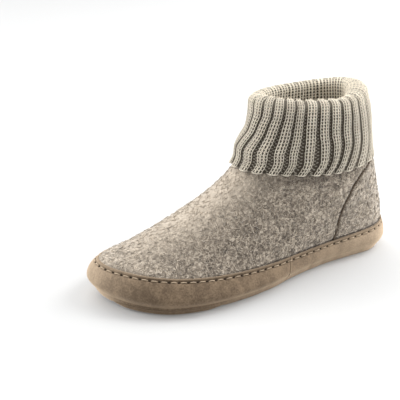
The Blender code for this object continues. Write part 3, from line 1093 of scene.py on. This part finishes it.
# Painted shade: the awl holes, thin lines beside the thread and the lip above it are darkened.
line_shade = LINE_SHADE * bell(np.abs(below_top - STITCH_DROP) - LINE_SHADE_AT, LINE_SHADE_SPAN)
lip_shade = LIP_SHADE * soft_step(below_top, *LIP_FROM) * (1 - soft_step(below_top, *LIP_TO))
hole_and_line_shade_mask = np.maximum(1 - soft_step(hole_distance, *HOLE_SHADE), np.maximum(line_shade, lip_shade))
keep_attribute(suede_band.data, "cut", np.concatenate((cut_face, cut_edge)).ravel())
keep_attribute(suede_band.data, "painted_end_light", np.tile(painted_end_light, len(band_rows)))
keep_attribute(suede_band.data, "hole", np.concatenate((hole_and_line_shade_mask, unseen)).ravel())
dress(suede_band, "sole_band")

# %% Saddle stitches
THREAD_LIGHT = (0.62, 0.50, 0.36, 1)
THREAD_DARK = (0.46, 0.35, 0.24, 1)
THREAD_SINK = 0.0003
THREAD_SHARE = 0.66
THREAD_BAR = {"Length": pitch * THREAD_SHARE, "Radius": 0.00036, "Rise": 0.0005, "Dip": 0.0006}

waxed_thread = thread_finish(
    "waxed_thread", roughness=0.7, sheen=0.1, dark=THREAD_DARK, light=THREAD_LIGHT
)
between_holes = hole_steps - 0.5
spots, ways, faces = on_stitch_line(between_holes)
spots = spots - THREAD_SINK * faces
sew("saddle_stitches", spots, ways, faces, THREAD_BAR, waxed_thread)

# %% Dark plugs of painted shade in the awl holes
PLUG_SHADE_LIGHT = (0.046, 0.031, 0.019, 1)
PLUG_SHADE_DARK = (0.022, 0.015, 0.009, 1)
PLUG_SINK = 0.0007
PLUG_BAR = {"Length": 0.0015, "Radius": 0.00070, "Rise": 0.0001, "Dip": 0.0003}
PLUG_SHRINKS = 0.4
PLUG_SHRINKS_BY = 0.08

# Painted shade: short dark bars sunk in each awl hole, which lies in shade, smaller towards the heel.
thread_end = thread_finish("thread_end", roughness=0.9, sheen=0.0, dark=PLUG_SHADE_DARK, light=PLUG_SHADE_LIGHT)
spots, ways, faces = on_stitch_line(hole_steps)
spots = spots - PLUG_SINK * faces
plug_scale = 1 - PLUG_SHRINKS * soft_step(-spots[:, 0], 0.0, PLUG_SHRINKS_BY)
sew("painted_hole_shade_plugs", spots, ways, faces, PLUG_BAR, thread_end, plug_scale)

# %% [markdown]
# ## Sole and footbed
# The sole is a thin sheet. Its edge shows only beside the toe, as a strip under the band with a
# fine ridge at its upper edge. The footbed is a felt pad with a rounded edge and a shallow hollow
# for the heel and the ball. Both are slabs: rings for the edge, and straight rows from side to side
# for the faces. One large face could fill an outline, but it can't be hollowed and it shades badly.

# %% Slabs
SIDE_POINTS = 200
RING_POINTS = 2 * SIDE_POINTS
ACROSS = 14


def slab_lines(points, row, start, top, hollow):
    """Numbers of the points of straight rows across a ring. New points are added to the list."""
    outer = np.arange(SIDE_POINTS + 1)
    inner = (RING_POINTS - outer) % RING_POINTS
    lines = [start + outer]
    for share in np.arange(1, ACROSS) / ACROSS:
        middle = row[outer] * (1 - share) + row[inner] * share
        if top:
            middle[:, 2] -= hollow(middle[:, 0]) * math.sin(math.pi * share)
        numbers = np.arange(SIDE_POINTS - 1) + len(points)
        points.extend(middle[1:-1])
        lines.append(np.concatenate(([start], numbers, [start + SIDE_POINTS])))
    return lines + [start + inner]


def slab(name, outline, edge, underside, thickness, hollow, finish):
    """Slab from an outline, an edge table of insets and heights, and a hollow in its top."""
    rings = []
    for inset, share in edge:
        row = spread(outline, -np.asarray(inset))
        row[:, 2] = underside(row[:, 0]) + thickness * share
        rings.append(row)
    points = list(np.concatenate(rings))
    faces = grid_faces(len(rings), RING_POINTS, rows_closed=False)
    for number, top in ((0, False), (len(rings) - 1, True)):
        lines = slab_lines(points, rings[number], number * RING_POINTS, top, hollow)
        for near, far in zip(lines[:-1], lines[1:]):
            for here in range(SIDE_POINTS):
                corners = [near[here], far[here], far[here + 1], near[here + 1]]
                corners = list(dict.fromkeys(int(corner) for corner in corners))
                faces.append(corners if top else corners[::-1])
    return add_piece(name, centred(np.array(points)), faces, finish)


# %% The sole
SOLE_THICKNESS = 0.0045
SOLE_LIP = 0.0005
SOLE_TUCK = 0.0032
SOLE_LIGHT = (0.200, 0.143, 0.092, 1)
SOLE_DARK = (0.136, 0.094, 0.060, 1)
SOLE_EDGE = (
    (0.0034, 0.00),
    (0.0018, 0.06),
    (0.0009, 0.18),
    (0.0003, 0.36),
    (0.0002, 0.55),
    (0.0001, 0.74),
    (0.0, 0.86),
    (0.0002, 0.95),
    (0.0006, 1.00),
)
RIDGE_RINGS = (6, 8)
RIDGE_PALE = 0.55


def level_top(x):
    """No hollow."""
    return 0 * x


slab_places = np.arange(RING_POINTS) / SIDE_POINTS
slab_strip = strip_share(slab_places)
sole_reach = GAP + BAND_THICKNESS + SOLE_LIP * slab_strip - SOLE_TUCK * (1 - slab_strip)
sole_outline = spread(ring(LEVEL_OF["sole edge"], slab_places), sole_reach)
sole_leather = suede_finish("sole_leather", SOLE_LIGHT, SOLE_DARK)
outsole = slab("sole_sheet", sole_outline, SOLE_EDGE, ground, SOLE_THICKNESS, level_top, sole_leather)
plain = np.zeros(len(outsole.data.vertices))
ridge = plain.copy()
ridge[RIDGE_RINGS[0] * RING_POINTS : RIDGE_RINGS[1] * RING_POINTS] = RIDGE_PALE
for name, mask in (("cut", ridge), ("hole", plain), ("painted_end_light", plain)):
    keep_attribute(outsole.data, name, mask)
dress(outsole, "outsole")

# %% The footbed
INSOLE_THICKNESS = 0.0050
INSOLE_CLEARANCE = 0.0006
INSOLE_EDGE = (
    (0.0012, 0.0),
    (0.0004, 0.12),
    (0.0, 0.3),
    (0.0001, 0.55),
    (0.0006, 0.8),
    (0.0013, 0.95),
    (0.0026, 1.0),
)
HOLLOW_COLUMNS = ("station", "span", "depth")
HOLLOWS = (
    (0.16, 0.12, 0.0012),
    (0.70, 0.14, 0.0008),
)
FOOTBED_LIGHT = (0.56, 0.48, 0.38, 1)
FOOTBED_MIDDLE = (0.42, 0.355, 0.28, 1)
FOOTBED_DARK = (0.22, 0.18, 0.14, 1)


def footbed_under(x):
    """Underside of the footbed, on top of the sole."""
    return ground(x) + SOLE_THICKNESS + GAP


def footbed_hollow(x):
    """Shallow hollows under the heel and under the ball of the foot."""
    rows = [dict(zip(HOLLOW_COLUMNS, row)) for row in HOLLOWS]
    return sum(row["depth"] * bell(x - row["station"] * LENGTH, row["span"] * LENGTH) for row in rows)


insole_outline = spread(ring(LEVEL_OF["sole edge"], slab_places), -FELT_THICKNESS - INSOLE_CLEARANCE)
footbed_felt = felt_finish("footbed_felt", FOOTBED_LIGHT, FOOTBED_MIDDLE, FOOTBED_DARK)
footbed = slab(
    "footbed", insole_outline, INSOLE_EDGE, footbed_under, INSOLE_THICKNESS, footbed_hollow, footbed_felt
)
for name in ("seam", "pale"):
    keep_attribute(footbed.data, name, np.zeros(len(footbed.data.vertices)))
dress(footbed, "insole")

# %% [markdown]
# ## The knit cuff
# The cuff is a tube of rib knit. It is sewn to the felt inside, runs up, folds over in a thick roll
# and hangs down outside. A rib is three wales of V-shaped loops, and between two ribs the fabric
# sinks into a dark valley. The ribs don't run straight: they lean with the pull of the fabric. A
# short table holds that lean, in shares of a rib, and slow waves round the cuff make the ribs a
# little uneven. A smooth tube with striped bump would keep a smooth outline, so the ribs are
# pressed into the grid itself.

# %% Ribs and their lean
RIBS = 27
RIB_PHASE = 0.70
LEAN_RIBS = (0, 2, 4, 6, 8, 10, 12, 15, 20, 25, 27)
LEAN_LEVELS = (6.0, 6.4, 7.0, 7.8, 8.5)
LEAN = (
    (0.55, 0.85, 0.95, 0.70, 0.80, 0.75, 0.70, 0.35, 0.00, 0.20, 0.55),
    (0.25, 0.40, 0.50, 0.22, 0.55, 0.60, 0.60, 0.30, 0.00, 0.10, 0.25),
    (0.05, 0.06, 0.02, 0.03, 0.49, 0.64, 0.66, 0.35, 0.00, 0.00, 0.05),
    (-0.05, -0.05, -0.07, 0.10, 0.30, 0.31, 0.22, 0.10, 0.00, 0.00, -0.05),
    (0.00, -0.05, -0.24, 0.05, 0.29, 0.05, -0.22, -0.10, 0.00, 0.00, 0.00),
)
UNEVEN_COLUMNS = ("waves", "start", "size")
UNEVEN = (
    (11, 0.6, 0.05),
    (7, 2.0, 0.05),
)
UNEVEN_SHIFT = 0.6


def table_at(table, levels, places, level, where):
    """A table with a row to each level and a column to each place, read at one level and some places."""
    rows = np.array([smooth(places, row, where) for row in table])
    return smooth(levels, rows, float(np.clip(level, levels[0], levels[-1])))


def uneven(numbers):
    """Slow waves round the cuff, so that no two ribs are quite alike."""
    rows = [dict(zip(UNEVEN_COLUMNS, row)) for row in UNEVEN]
    turns = [math.tau * row["waves"] * numbers / RIBS + row["start"] for row in rows]
    return sum(row["size"] * np.sin(turn) for row, turn in zip(rows, turns))


def rib_places(numbers, level):
    """Places on the last of rib numbers at a level, lean and all."""
    lean = table_at(LEAN, LEAN_LEVELS, LEAN_RIBS, level, numbers % RIBS)
    return 2 * (numbers + RIB_PHASE + lean + UNEVEN_SHIFT * uneven(numbers)) / RIBS % 2


# %% [markdown]
# Knit is limp, so the cuff is no even tube. It sags over the instep, swells at the heel, and its
# roll is thicker at both ends than at the sides. Two small tables hold these soft forms: how far
# the outside swells, by level and by place, and how far the roll leans in and lifts and the hem
# lifts, by place.

# %% Soft form of the cuff
MILLIMETRE = 0.001
SWELL_PLACES = (0.0, 0.2, 0.4, 0.75, 0.95, 1.15, 1.4, 1.8, 2.0)
SWELL_LEVELS = (6.0, 6.4, 6.8, 7.2, 7.75, 8.3, 9.0)
SWELL = (
    (-1.0, -0.5, 0.0, 0.3, 1.0, 1.0, 0.2, 0.0, -1.0),
    (-0.8, -0.3, 0.0, 0.6, 1.9, 1.9, 0.3, 0.0, -0.8),
    (0.0, 0.0, 0.2, 0.8, 2.6, 2.6, 0.4, 0.2, 0.0),
    (0.6, 0.3, 0.2, 0.2, 0.7, 0.7, 0.2, 0.3, 0.6),
    (1.3, 0.6, 0.2, -0.6, -2.4, -2.6, -0.5, 0.4, 1.3),
    (1.2, 0.6, 0.1, -0.6, -2.4, -2.6, -0.5, 0.4, 1.2),
    (0.0, 0.0, 0.0, 0.0, -0.4, -0.4, 0.0, 0.0, 0.0),
)
ROLL_COLUMNS = ("place", "in", "lift", "hem")
ROLL = (
    (0.00, 7.0, 1.5, -2.2),
    (0.12, 7.5, 0.0, -1.4),
    (0.25, 5.0, -2.6, -0.2),
    (0.35, 2.0, -2.0, -0.2),
    (0.45, 0.6, -0.2, 0.2),
    (0.55, 0.6, 1.3, 0.9),
    (0.68, 1.0, 2.8, 2.2),
    (0.80, 1.8, 4.4, 2.6),
    (0.92, 3.2, 4.6, 1.6),
    (1.02, 3.6, 3.0, 0.6),
    (1.12, 1.6, 1.2, 0.0),
    (1.30, 0.2, 0.2, 0.0),
    (1.70, 0.6, 0.0, 0.0),
    (1.88, 3.5, 1.0, -1.0),
    (2.00, 7.0, 1.5, -2.2),
)


def swell(level, places):
    """How far the outside of the cuff stands out from its even form."""
    return MILLIMETRE * table_at(SWELL, SWELL_LEVELS, SWELL_PLACES, level, places)


def roll(name, places):
    """How far the roll leans in or lifts, or the hem lifts, at places."""
    known = column(ROLL, ROLL_COLUMNS, "place")
    return MILLIMETRE * smooth(known, column(ROLL, ROLL_COLUMNS, name), places)


# %% Rows of the knit
HEM_LEVEL = 6.05
INNER_END = 7.05
OUTER_LEVELS = (6.05, 6.8, 7.5, 8.3, 9.0)
OUTER_OFFSETS = (0.0026, 0.0028, 0.0033, 0.0040, 0.0042)
INNER_LEVELS = (7.05, 7.7, 8.4, 9.0)
INNER_OFFSETS = (-0.0019, -0.0048, -0.0056, -0.0042)
OUTER_ROWS = 56
FOLD_ROWS = 17
INSIDE_ROWS = 30
FOLD_START = OUTER_ROWS
FOLD_TOP = OUTER_ROWS + FOLD_ROWS // 2
FOLD_END = OUTER_ROWS + FOLD_ROWS

# Each row is a level, an offset from the last and a turn of the fabric.
knit_rows = []
for level in np.linspace(HEM_LEVEL, LEVEL_OF["fold"], OUTER_ROWS):
    knit_rows.append((level, smooth(OUTER_LEVELS, OUTER_OFFSETS, level), math.pi))
for turn in np.linspace(math.pi, 0, FOLD_ROWS + 2)[1:-1]:
    knit_rows.append((LEVEL_OF["fold"], 0.0, turn))
for level in np.linspace(LEVEL_OF["fold"], INNER_END, INSIDE_ROWS):
    knit_rows.append((level, smooth(INNER_LEVELS, INNER_OFFSETS, level), 0.0))
print(len(knit_rows), "rows of knit from the hem over the fold to the inner end")

# %% Width of the valleys
VALLEY_AT = 0.77
VALLEY_NARROW = 0.172
VALLEY_WIDE = 0.09
WIDE_ROWS = 0.75 * OUTER_ROWS
WIDEST_RIB = 7.5
WIDEST_SPAN = 5.0
LEAST_PULL = 0.45
EASED_COLUMNS = ("rib", "span")
EASED_ENDS = (
    (0.5, 2.6),
    (14.5, 1.6),
)
EASED_SHARE = 0.45


def valley_distance(numbers):
    """Distance to the nearest valley, in shares of a rib."""
    return np.abs((numbers - VALLEY_AT + 0.5) % 1 - 0.5)


def pull(numbers):
    """1 on the outer side, where the fabric is pulled widest, and a soft fall to 0 on both sides of it."""
    return bell(numbers % RIBS - WIDEST_RIB, WIDEST_SPAN)


def eased(numbers):
    """1 at the two ends of the cuff, where the ribs lie close together, and 0 elsewhere."""
    rows = [dict(zip(EASED_COLUMNS, row)) for row in EASED_ENDS]
    return sum(bell((numbers - row["rib"] + RIBS / 2) % RIBS - RIBS / 2, row["span"]) for row in rows)


def valley_half(numbers, row):
    """Half the width of a valley, in shares of a rib: widest low down on the outer side."""
    low = soft_step(-row, -WIDE_ROWS, 0)
    pulled = LEAST_PULL + (1 - LEAST_PULL) * pull(numbers)
    width = (VALLEY_NARROW + VALLEY_WIDE * low * pulled) * (1 + uneven(numbers))
    return width * (1 - EASED_SHARE * eased(numbers))


valleys = np.arange(RIBS) + VALLEY_AT
hem_valleys = 2 * valley_half(valleys, 0)
print("valleys at the hem take", hem_valleys.min().round(2), "to", hem_valleys.max().round(2), "of a rib")

# %% Depth of the valleys
FADE_START = FOLD_START - 5
FADE_LATER = 13
FADE_ROWS = 10
FADE_SHARE = 0.92
CROWN_FALL = 0.22
SLOPE_START = 0.55
SLOPE_END = 0.06


def valley_weight(numbers, row):
    """How deep valleys are at a row: full outside, and nearly gone over the roll and inside."""
    start = FADE_START + FADE_LATER * pull(numbers)
    return 1 - FADE_SHARE * soft_step(row, start, start + FADE_ROWS)


def rib_height(numbers, row):
    """0 in a valley and 1 on the crown of a rib."""
    away = valley_distance(numbers)
    half = valley_half(numbers, row)
    crown = 1 - CROWN_FALL * ((0.5 - away) / (0.5 - half)) ** 2
    return soft_step(away, SLOPE_START * half, half + SLOPE_END) * np.minimum(crown, 1)


# %% Surface of the knit
FOLD_RADIUS = 0.0042
RIB_TOP = 0.0008
VALLEY_DEPTH = 0.0022
KNIT_BACK = -0.0016
LIFT_FROM = 7.4
HEM_LIFT_TO = 7.3
LEAN_IN = (6.9, 8.4)
LEAN_LIFT = 0.2


def knit_row(numbers, index, back):
    """One row of the knit's face, or of its back."""
    level, offset, turn = knit_rows[index]
    places = rib_places(numbers, level)
    base = ring(level, places)
    out = outward(base)
    offset = offset + np.zeros(len(numbers))
    lift = roll("lift", places) * soft_step(level, LIFT_FROM, LEVEL_OF["fold"])
    lean = roll("in", places) * soft_step(level, *LEAN_IN)
    if index < FOLD_START:
        lift = lift + roll("hem", places) * (1 - soft_step(level, HEM_LEVEL, HEM_LIFT_TO))
        offset += swell(level, places)
    elif index < FOLD_END:
        offset += swell(level, places) * (1 - math.cos(turn)) / 2
        offset -= FOLD_RADIUS * math.cos(turn) + lean * (1 + math.cos(turn)) / 2
        lift = lift + (FOLD_RADIUS + LEAN_LIFT * lean) * math.sin(turn)
    else:
        offset -= lean
    height = np.full(len(numbers), KNIT_BACK)
    if not back:
        height = RIB_TOP - valley_weight(numbers, index) * VALLEY_DEPTH * (1 - rib_height(numbers, index))
    face = -math.cos(turn) * out + math.sin(turn) * UP
    spots = base + offset[:, None] * out + lift[:, None] * UP
    return centred(spots) + height[:, None] * face


def knit_surface(numbers, rows=range(len(knit_rows)), back=False):
    """Grid of the knit's face, or of its back, for rib numbers in rising order."""
    return np.array([knit_row(numbers, index, back) for index in rows])


# %% [markdown]
# ## Yarn
# The yarn is a soft light greige wool. In the valleys less light comes in and the purl side shows,
# so a tone kept on each point paints shade there, darkest on the ground between the loops.

# %% Yarn finish
YARN_LIGHT = (0.920, 0.845, 0.704, 1)
YARN_DARK = (0.700, 0.626, 0.506, 1)
YARN_PAINTED_SHADE = (0.066, 0.054, 0.040, 1)
YARN_SHARES = {"fibres": 0.6, "clouds": 0.4}
YARN_MIX = (0.30, 0.68)

yarn = Finish("rib_knit", roughness=0.9, sheen=0.3)
fibres = yarn.noise(1400, detail=3.0, distortion=0.4)
yarn_tone = fibres * YARN_SHARES["fibres"] + yarn.noise(120) * YARN_SHARES["clouds"]
yarn_colour = yarn.mix(yarn.steps(yarn_tone, *YARN_MIX), YARN_DARK, YARN_LIGHT)
# Painted shade from the tone kept on each point.
yarn_colour = yarn.mix(yarn.attribute("tone"), yarn_colour, YARN_PAINTED_SHADE)
rib_knit = yarn.finish(yarn_colour, fibres, distance=0.0003, strength=0.5)
print("yarn finish has", len(rib_knit.node_tree.nodes), "nodes")

# %% Ground of the knit
POINTS_TO_A_RIB = 12
BACK_STEP = 4
CREST_AT = FOLD_START + 3
CREST_SPAN = 7
CREST_LIGHT = 0.25
EASED_LIGHT = 0.30

ground_numbers = np.arange(RIBS * POINTS_TO_A_RIB) / POINTS_TO_A_RIB
knit_face = knit_surface(ground_numbers)
knit_back = knit_surface(ground_numbers, back=True)[::-BACK_STEP]
hem_edge = rim(knit_back[-1], knit_face[0], DOWN, steps=3)
end_edge = rim(knit_face[-1], knit_back[0], DOWN, steps=3)
ground_rows = np.concatenate((knit_face, end_edge, knit_back, hem_edge))
ground_faces = grid_faces(len(ground_rows), len(ground_numbers))
knit_ground = add_piece("knit_ground", ground_rows, ground_faces, rib_knit)
# Painted shade on the ground under the loops, lighter on the roll's crest, which catches the light, and at
# the ends.
crest = bell(np.arange(len(ground_rows)) - CREST_AT, CREST_SPAN)
ground_painted_shade = (1 - CREST_LIGHT * crest)[:, None] * (1 - EASED_LIGHT * eased(ground_numbers))
keep_attribute(knit_ground.data, "tone", ground_painted_shade.ravel())
dress(knit_ground, "cuff")

# %% [markdown]
# ## Loops
# One loop of a wale shows as a V: two legs that rise from the loop below and part. The legs are two
# bent yarns. The loops sit in courses, evenly spaced along the fabric from the hem over the roll,
# and each is turned to the surface and scaled to the width of its wale and the height of its
# course. Bump could draw the loops, but real yarn breaks the outline and throws its own shadow into
# the gap between the legs.

# %% Loop tree
LEG_POINTS = (
    (0.05, -0.62, 0.4),
    (0.52, -0.42, 2.4),
    (0.46, 0.60, -1.8),
)

loop_tree = YarnTree("knit_loops", ("Width", "Height", "Radius", "Rise"))
wide, tall, rise = (loop_tree.size(label) for label in ("Width", "Height", "Rise"))
legs = loop_tree.add("GeometryNodeJoinGeometry")
for side in (-1, 1):
    path = [loop_tree.point(wide * (x * side), tall * y, rise * z) for x, y, z in LEG_POINTS]
    leg = loop_tree.yarn(*path, loop_tree.size("Radius"), sides=5, steps=3, taper=0.2)
    loop_tree.plug(legs.inputs["Geometry"], leg)
loop_tree.set_on_kept_points(loop_tree.read(legs, "Geometry"), "Y")
print("loop tree has", len(loop_tree.tree.nodes), "nodes")

# %% Where the loops sit
COURSE = 0.0027
NUDGE = 0.05
CROWN = POINTS_TO_A_RIB // 4
LAST_RIB_ROW = FOLD_TOP + 3


def course_rows(spacing):
    """Fractional rows of the knit a course apart, measured along a rib."""
    along = lengths_along(knit_face[:, CROWN])
    wanted = np.arange(spacing / 2, along[-1], spacing)
    return np.interp(wanted, along, np.arange(len(along)))


def knit_frame(numbers, row):
    """One course: sorted rib numbers, points, ways out, up and across, and sizes of a rib and a row."""
    sorted_numbers = np.sort(numbers % RIBS)
    first = min(int(row), len(knit_rows) - 2)
    near = range(max(first - 1, 0), min(first + 3, len(knit_rows)))
    here, after, before = (knit_surface(sorted_numbers + shift, near) for shift in (0.0, NUDGE, -NUDGE))
    share = row - first
    place = first - near.start

    def read(grid):
        """The line of a grid that lies at the course."""
        return grid[place] * (1 - share) + grid[place + 1] * share

    across = read(after - before)
    rise = read(np.gradient(here, axis=0))
    sizes = np.column_stack((np.linalg.norm(across, axis=1) / (2 * NUDGE), np.linalg.norm(rise, axis=1)))
    return sorted_numbers, read(here), unit(np.cross(rise, across)), unit(rise), unit(across), sizes


courses = course_rows(COURSE)
outside = courses[courses < LAST_RIB_ROW]
beyond = courses[courses >= LAST_RIB_ROW]
print(len(outside), "courses outside and", len(beyond), "over the roll and inside")

# %% Loops of the ribs
WALES = 3
LOOP_WIDTH = 0.0024
LOOP_FLAT = 0.55
LOOP_STAND = 0.0001
LOOP_SIZES = {"Width": LOOP_WIDTH, "Height": COURSE, "Radius": 0.00035, "Rise": 0.00018}
ROLL_SIZES = dict(LOOP_SIZES, Radius=0.00043)
WALL_SHADE = 0.18
WALL_SHADE_ROWS = (FOLD_START - 12, FOLD_START - 1)
INSIDE_SHADE = 0.04
INSIDE_SHADE_ROWS = (FOLD_TOP + 4, FOLD_END + 6)
JITTER = 0.08
JITTER_SEED = 11

shake = np.random.default_rng(JITTER_SEED)


def loop_host(rows, closed):
    """Points for the loops of some courses, with open or closed valleys."""
    sides = (np.arange(WALES) + 0.5) / WALES - 0.5
    ribs = np.arange(RIBS) + VALLEY_AT + 0.5
    parts = []
    for row, step in zip(rows, np.gradient(rows)):
        weight = 0 if closed else valley_weight(ribs, row)
        before, after = (weight * valley_half(ribs + shift, row) for shift in (-0.5, 0.5))
        share = 1 - before - after
        numbers = np.concatenate([ribs + (before - after) / 2 + side * share for side in sides])
        widths = np.tile(share / WALES, WALES)[np.argsort(numbers % RIBS)]
        _, spots, faces, rises, _, sizes = knit_frame(numbers, row)
        scale = 1 + JITTER * shake.normal(size=(len(numbers), 3))
        scale[:, 0] *= sizes[:, 0] * widths / LOOP_WIDTH
        scale[:, 1] *= sizes[:, 1] * step / COURSE
        scale[:, 2] *= LOOP_FLAT
        # Painted shade: loops on the outer wall and inside the cuff are toned darker.
        wall = WALL_SHADE * (1 - soft_step(row, *WALL_SHADE_ROWS))
        tone = np.full(len(numbers), wall + INSIDE_SHADE * soft_step(row, *INSIDE_SHADE_ROWS))
        parts.append((spots + LOOP_STAND * faces, faces, rises, scale, tone))
    return point_host(*(np.concatenate(part) for part in zip(*parts)))


outer_host = loop_host(outside, closed=False)
grow("knit_loops_outside", outer_host, loop_tree, LOOP_SIZES, rib_knit)
roll_host = loop_host(beyond, closed=True)
grow("knit_loops_roll", roll_host, loop_tree, ROLL_SIZES, rib_knit)

# %% [markdown]
# ## Purl bumps and hem
# In the valleys the back of the loops shows as small cross bars. They are bars of yarn across the
# valley, with painted shade that makes them darker than the ribs. At the hem the loops are cast on,
# so a chain of short bars closes the edge, with painted shade in the valleys.

# %% Purl bumps
PURL_PAINTED_SHADE = 0.66
PURL_TILT = 0.35
PURL_SINK = 0.0001
PURL_WIDTH = 0.66
PURL_SIDES = (
    (-0.36, 0.0),
    (0.36, 0.5),
)
PURL_BAR = {"Length": 0.0017, "Radius": 0.00050, "Rise": 0.0003, "Dip": 0.0003}

parts = []
for row, step in zip(outside, np.gradient(outside)):
    for side, shift in PURL_SIDES:
        numbers = valleys + side * valley_half(valleys, row)
        sorted_numbers, spots, faces, rises, across, sizes = knit_frame(numbers, row + shift * step)
        tilt = PURL_TILT * shake.normal(size=(RIBS, 1))
        scale = 1 + JITTER * shake.normal(size=(RIBS, 3))
        scale[:, 0] *= sizes[:, 0] * PURL_WIDTH * valley_half(sorted_numbers, row) / PURL_BAR["Length"]
        parts.append((spots - PURL_SINK * faces, faces, unit(across + tilt * rises), scale))
# Painted shade: the purl bumps are toned darker, as the valleys lie in shade.
purl_host = point_host(*(np.concatenate(part) for part in zip(*parts)), PURL_PAINTED_SHADE)
grow("purl_bumps", purl_host, bar_tree, PURL_BAR, rib_knit)

# %% Chain along the hem
CHAIN_STEPS = 5
CHAIN_OVERLAP = 1.25
CHAIN_DROP = 0.0003
CHAIN_VALLEY_SHADE = 0.92
CHAIN_LIGHTER = 0.75
CHAIN_LIGHTENS = (0.1, 0.25)
CHAIN_BAR = {"Length": 0.0024, "Radius": 0.00042, "Rise": 0.0003, "Dip": 0.0002}

numbers = np.arange(RIBS * CHAIN_STEPS) / CHAIN_STEPS + VALLEY_AT
sorted_numbers, spots, faces, rises, across, sizes = knit_frame(numbers, 0.0)
scale = np.ones((len(numbers), 3))
scale[:, 0] = sizes[:, 0] * CHAIN_OVERLAP / CHAIN_STEPS / CHAIN_BAR["Length"]
# Painted shade: the chain is toned dark in the valleys and light at the rib ends.
chain_painted_shade = CHAIN_VALLEY_SHADE - CHAIN_LIGHTER * soft_step(valley_distance(sorted_numbers), *CHAIN_LIGHTENS)
chain_host = point_host(spots - CHAIN_DROP * rises, faces, across, scale, chain_painted_shade)
grow("hem_chain", chain_host, bar_tree, CHAIN_BAR, rib_knit)

# %% [markdown]
# ## Camera, floor and light
# The camera stands where the photograph was taken from. The floor is white, and it glows a little:
# painted light that lightens the shadows on it. A wide soft sun from above and behind gives most of
# the light, and large lamps at both ends light the toe and the heel.

# %% Camera
CAMERA_AT = Vector((0.3182, 0.6140, 0.3728))
CAMERA_WAY = Vector((-0.3745, -0.8314, -0.4107))
CAMERA_LENS = 85.73
SENSOR = 36.0

camera_data = bpy.data.cameras.new("camera")
camera_data.lens = CAMERA_LENS
camera_data.sensor_width = SENSOR
camera = bpy.data.objects.new("camera", camera_data)
camera.location = CAMERA_AT
camera.rotation_euler = CAMERA_WAY.to_track_quat("-Z", "Y").to_euler()
scene.collection.objects.link(camera)
scene.camera = camera
print("camera is", round(CAMERA_AT.length, 2), "m from the origin")

# %% Floor
WHITE = (1.0, 1.0, 1.0, 1)
FLOOR_LIGHT = (0.543, 0.545, 0.545, 1)
FLOOR_DARK = (0.533, 0.535, 0.535, 1)
FLOOR_PAINTED_GLOW = 0.085
FLOOR_HALF = 4.0
FLOOR_CORNERS = ((-1, -1), (1, -1), (1, 1), (-1, 1))

floor_finish = Finish("floor", roughness=0.9, sheen=0.0)
floor_finish.shader.inputs["Emission Color"].default_value = WHITE
# Painted light: the floor glows a little, which lightens the shadows on it.
floor_finish.shader.inputs["Emission Strength"].default_value = FLOOR_PAINTED_GLOW
floor_colour = floor_finish.mix(floor_finish.noise(3.0), FLOOR_DARK, FLOOR_LIGHT)
floor_material = floor_finish.finish(floor_colour, floor_finish.noise(40.0), distance=0.0002, strength=0.05)
corners = [(FLOOR_HALF * x, FLOOR_HALF * y, 0.0) for x, y in FLOOR_CORNERS]
floor = add_piece("floor", corners, [(0, 1, 2, 3)], floor_material)

# %% Light
WORLD_STRENGTH = 0.64
LIGHT_COLUMNS = ("place", "size", "power")
LIGHTS = {
    "toe side": ((1.05, -0.60, 0.50), 0.5, 8.0),
    "heel side": ((-1.10, -0.05, 0.30), 1.2, 18.0),
    "heel above": ((-0.80, 0.10, 0.90), 0.7, 8.0),
}
SUN_FROM = (0.35, -0.87, 1.0)
SUN_POWER = 2.25
SUN_ANGLE = math.radians(80)


def add_light(name, kind, place, power):
    """A light at a place, turned to the slipper."""
    light = bpy.data.lights.new(name, kind)
    light.energy = power
    lamp = bpy.data.objects.new(name, light)
    lamp.location = place
    lamp.rotation_euler = (-Vector(place)).to_track_quat("-Z", "Y").to_euler()
    scene.collection.objects.link(lamp)
    return light


world = bpy.data.worlds.new("studio")
world.use_nodes = True
background = world.node_tree.nodes["Background"]
background.inputs["Color"].default_value = WHITE
background.inputs["Strength"].default_value = WORLD_STRENGTH
scene.world = world
scene.view_settings.view_transform = "Standard"
for name, light in LIGHTS.items():
    row = dict(zip(LIGHT_COLUMNS, light))
    lamp_light = add_light(name, "AREA", row["place"], row["power"])
    lamp_light.size = row["size"]
sun_light = add_light("overhead", "SUN", SUN_FROM, SUN_POWER)
sun_light.angle = SUN_ANGLE
print(len(LIGHTS) + 1, "soft lights")
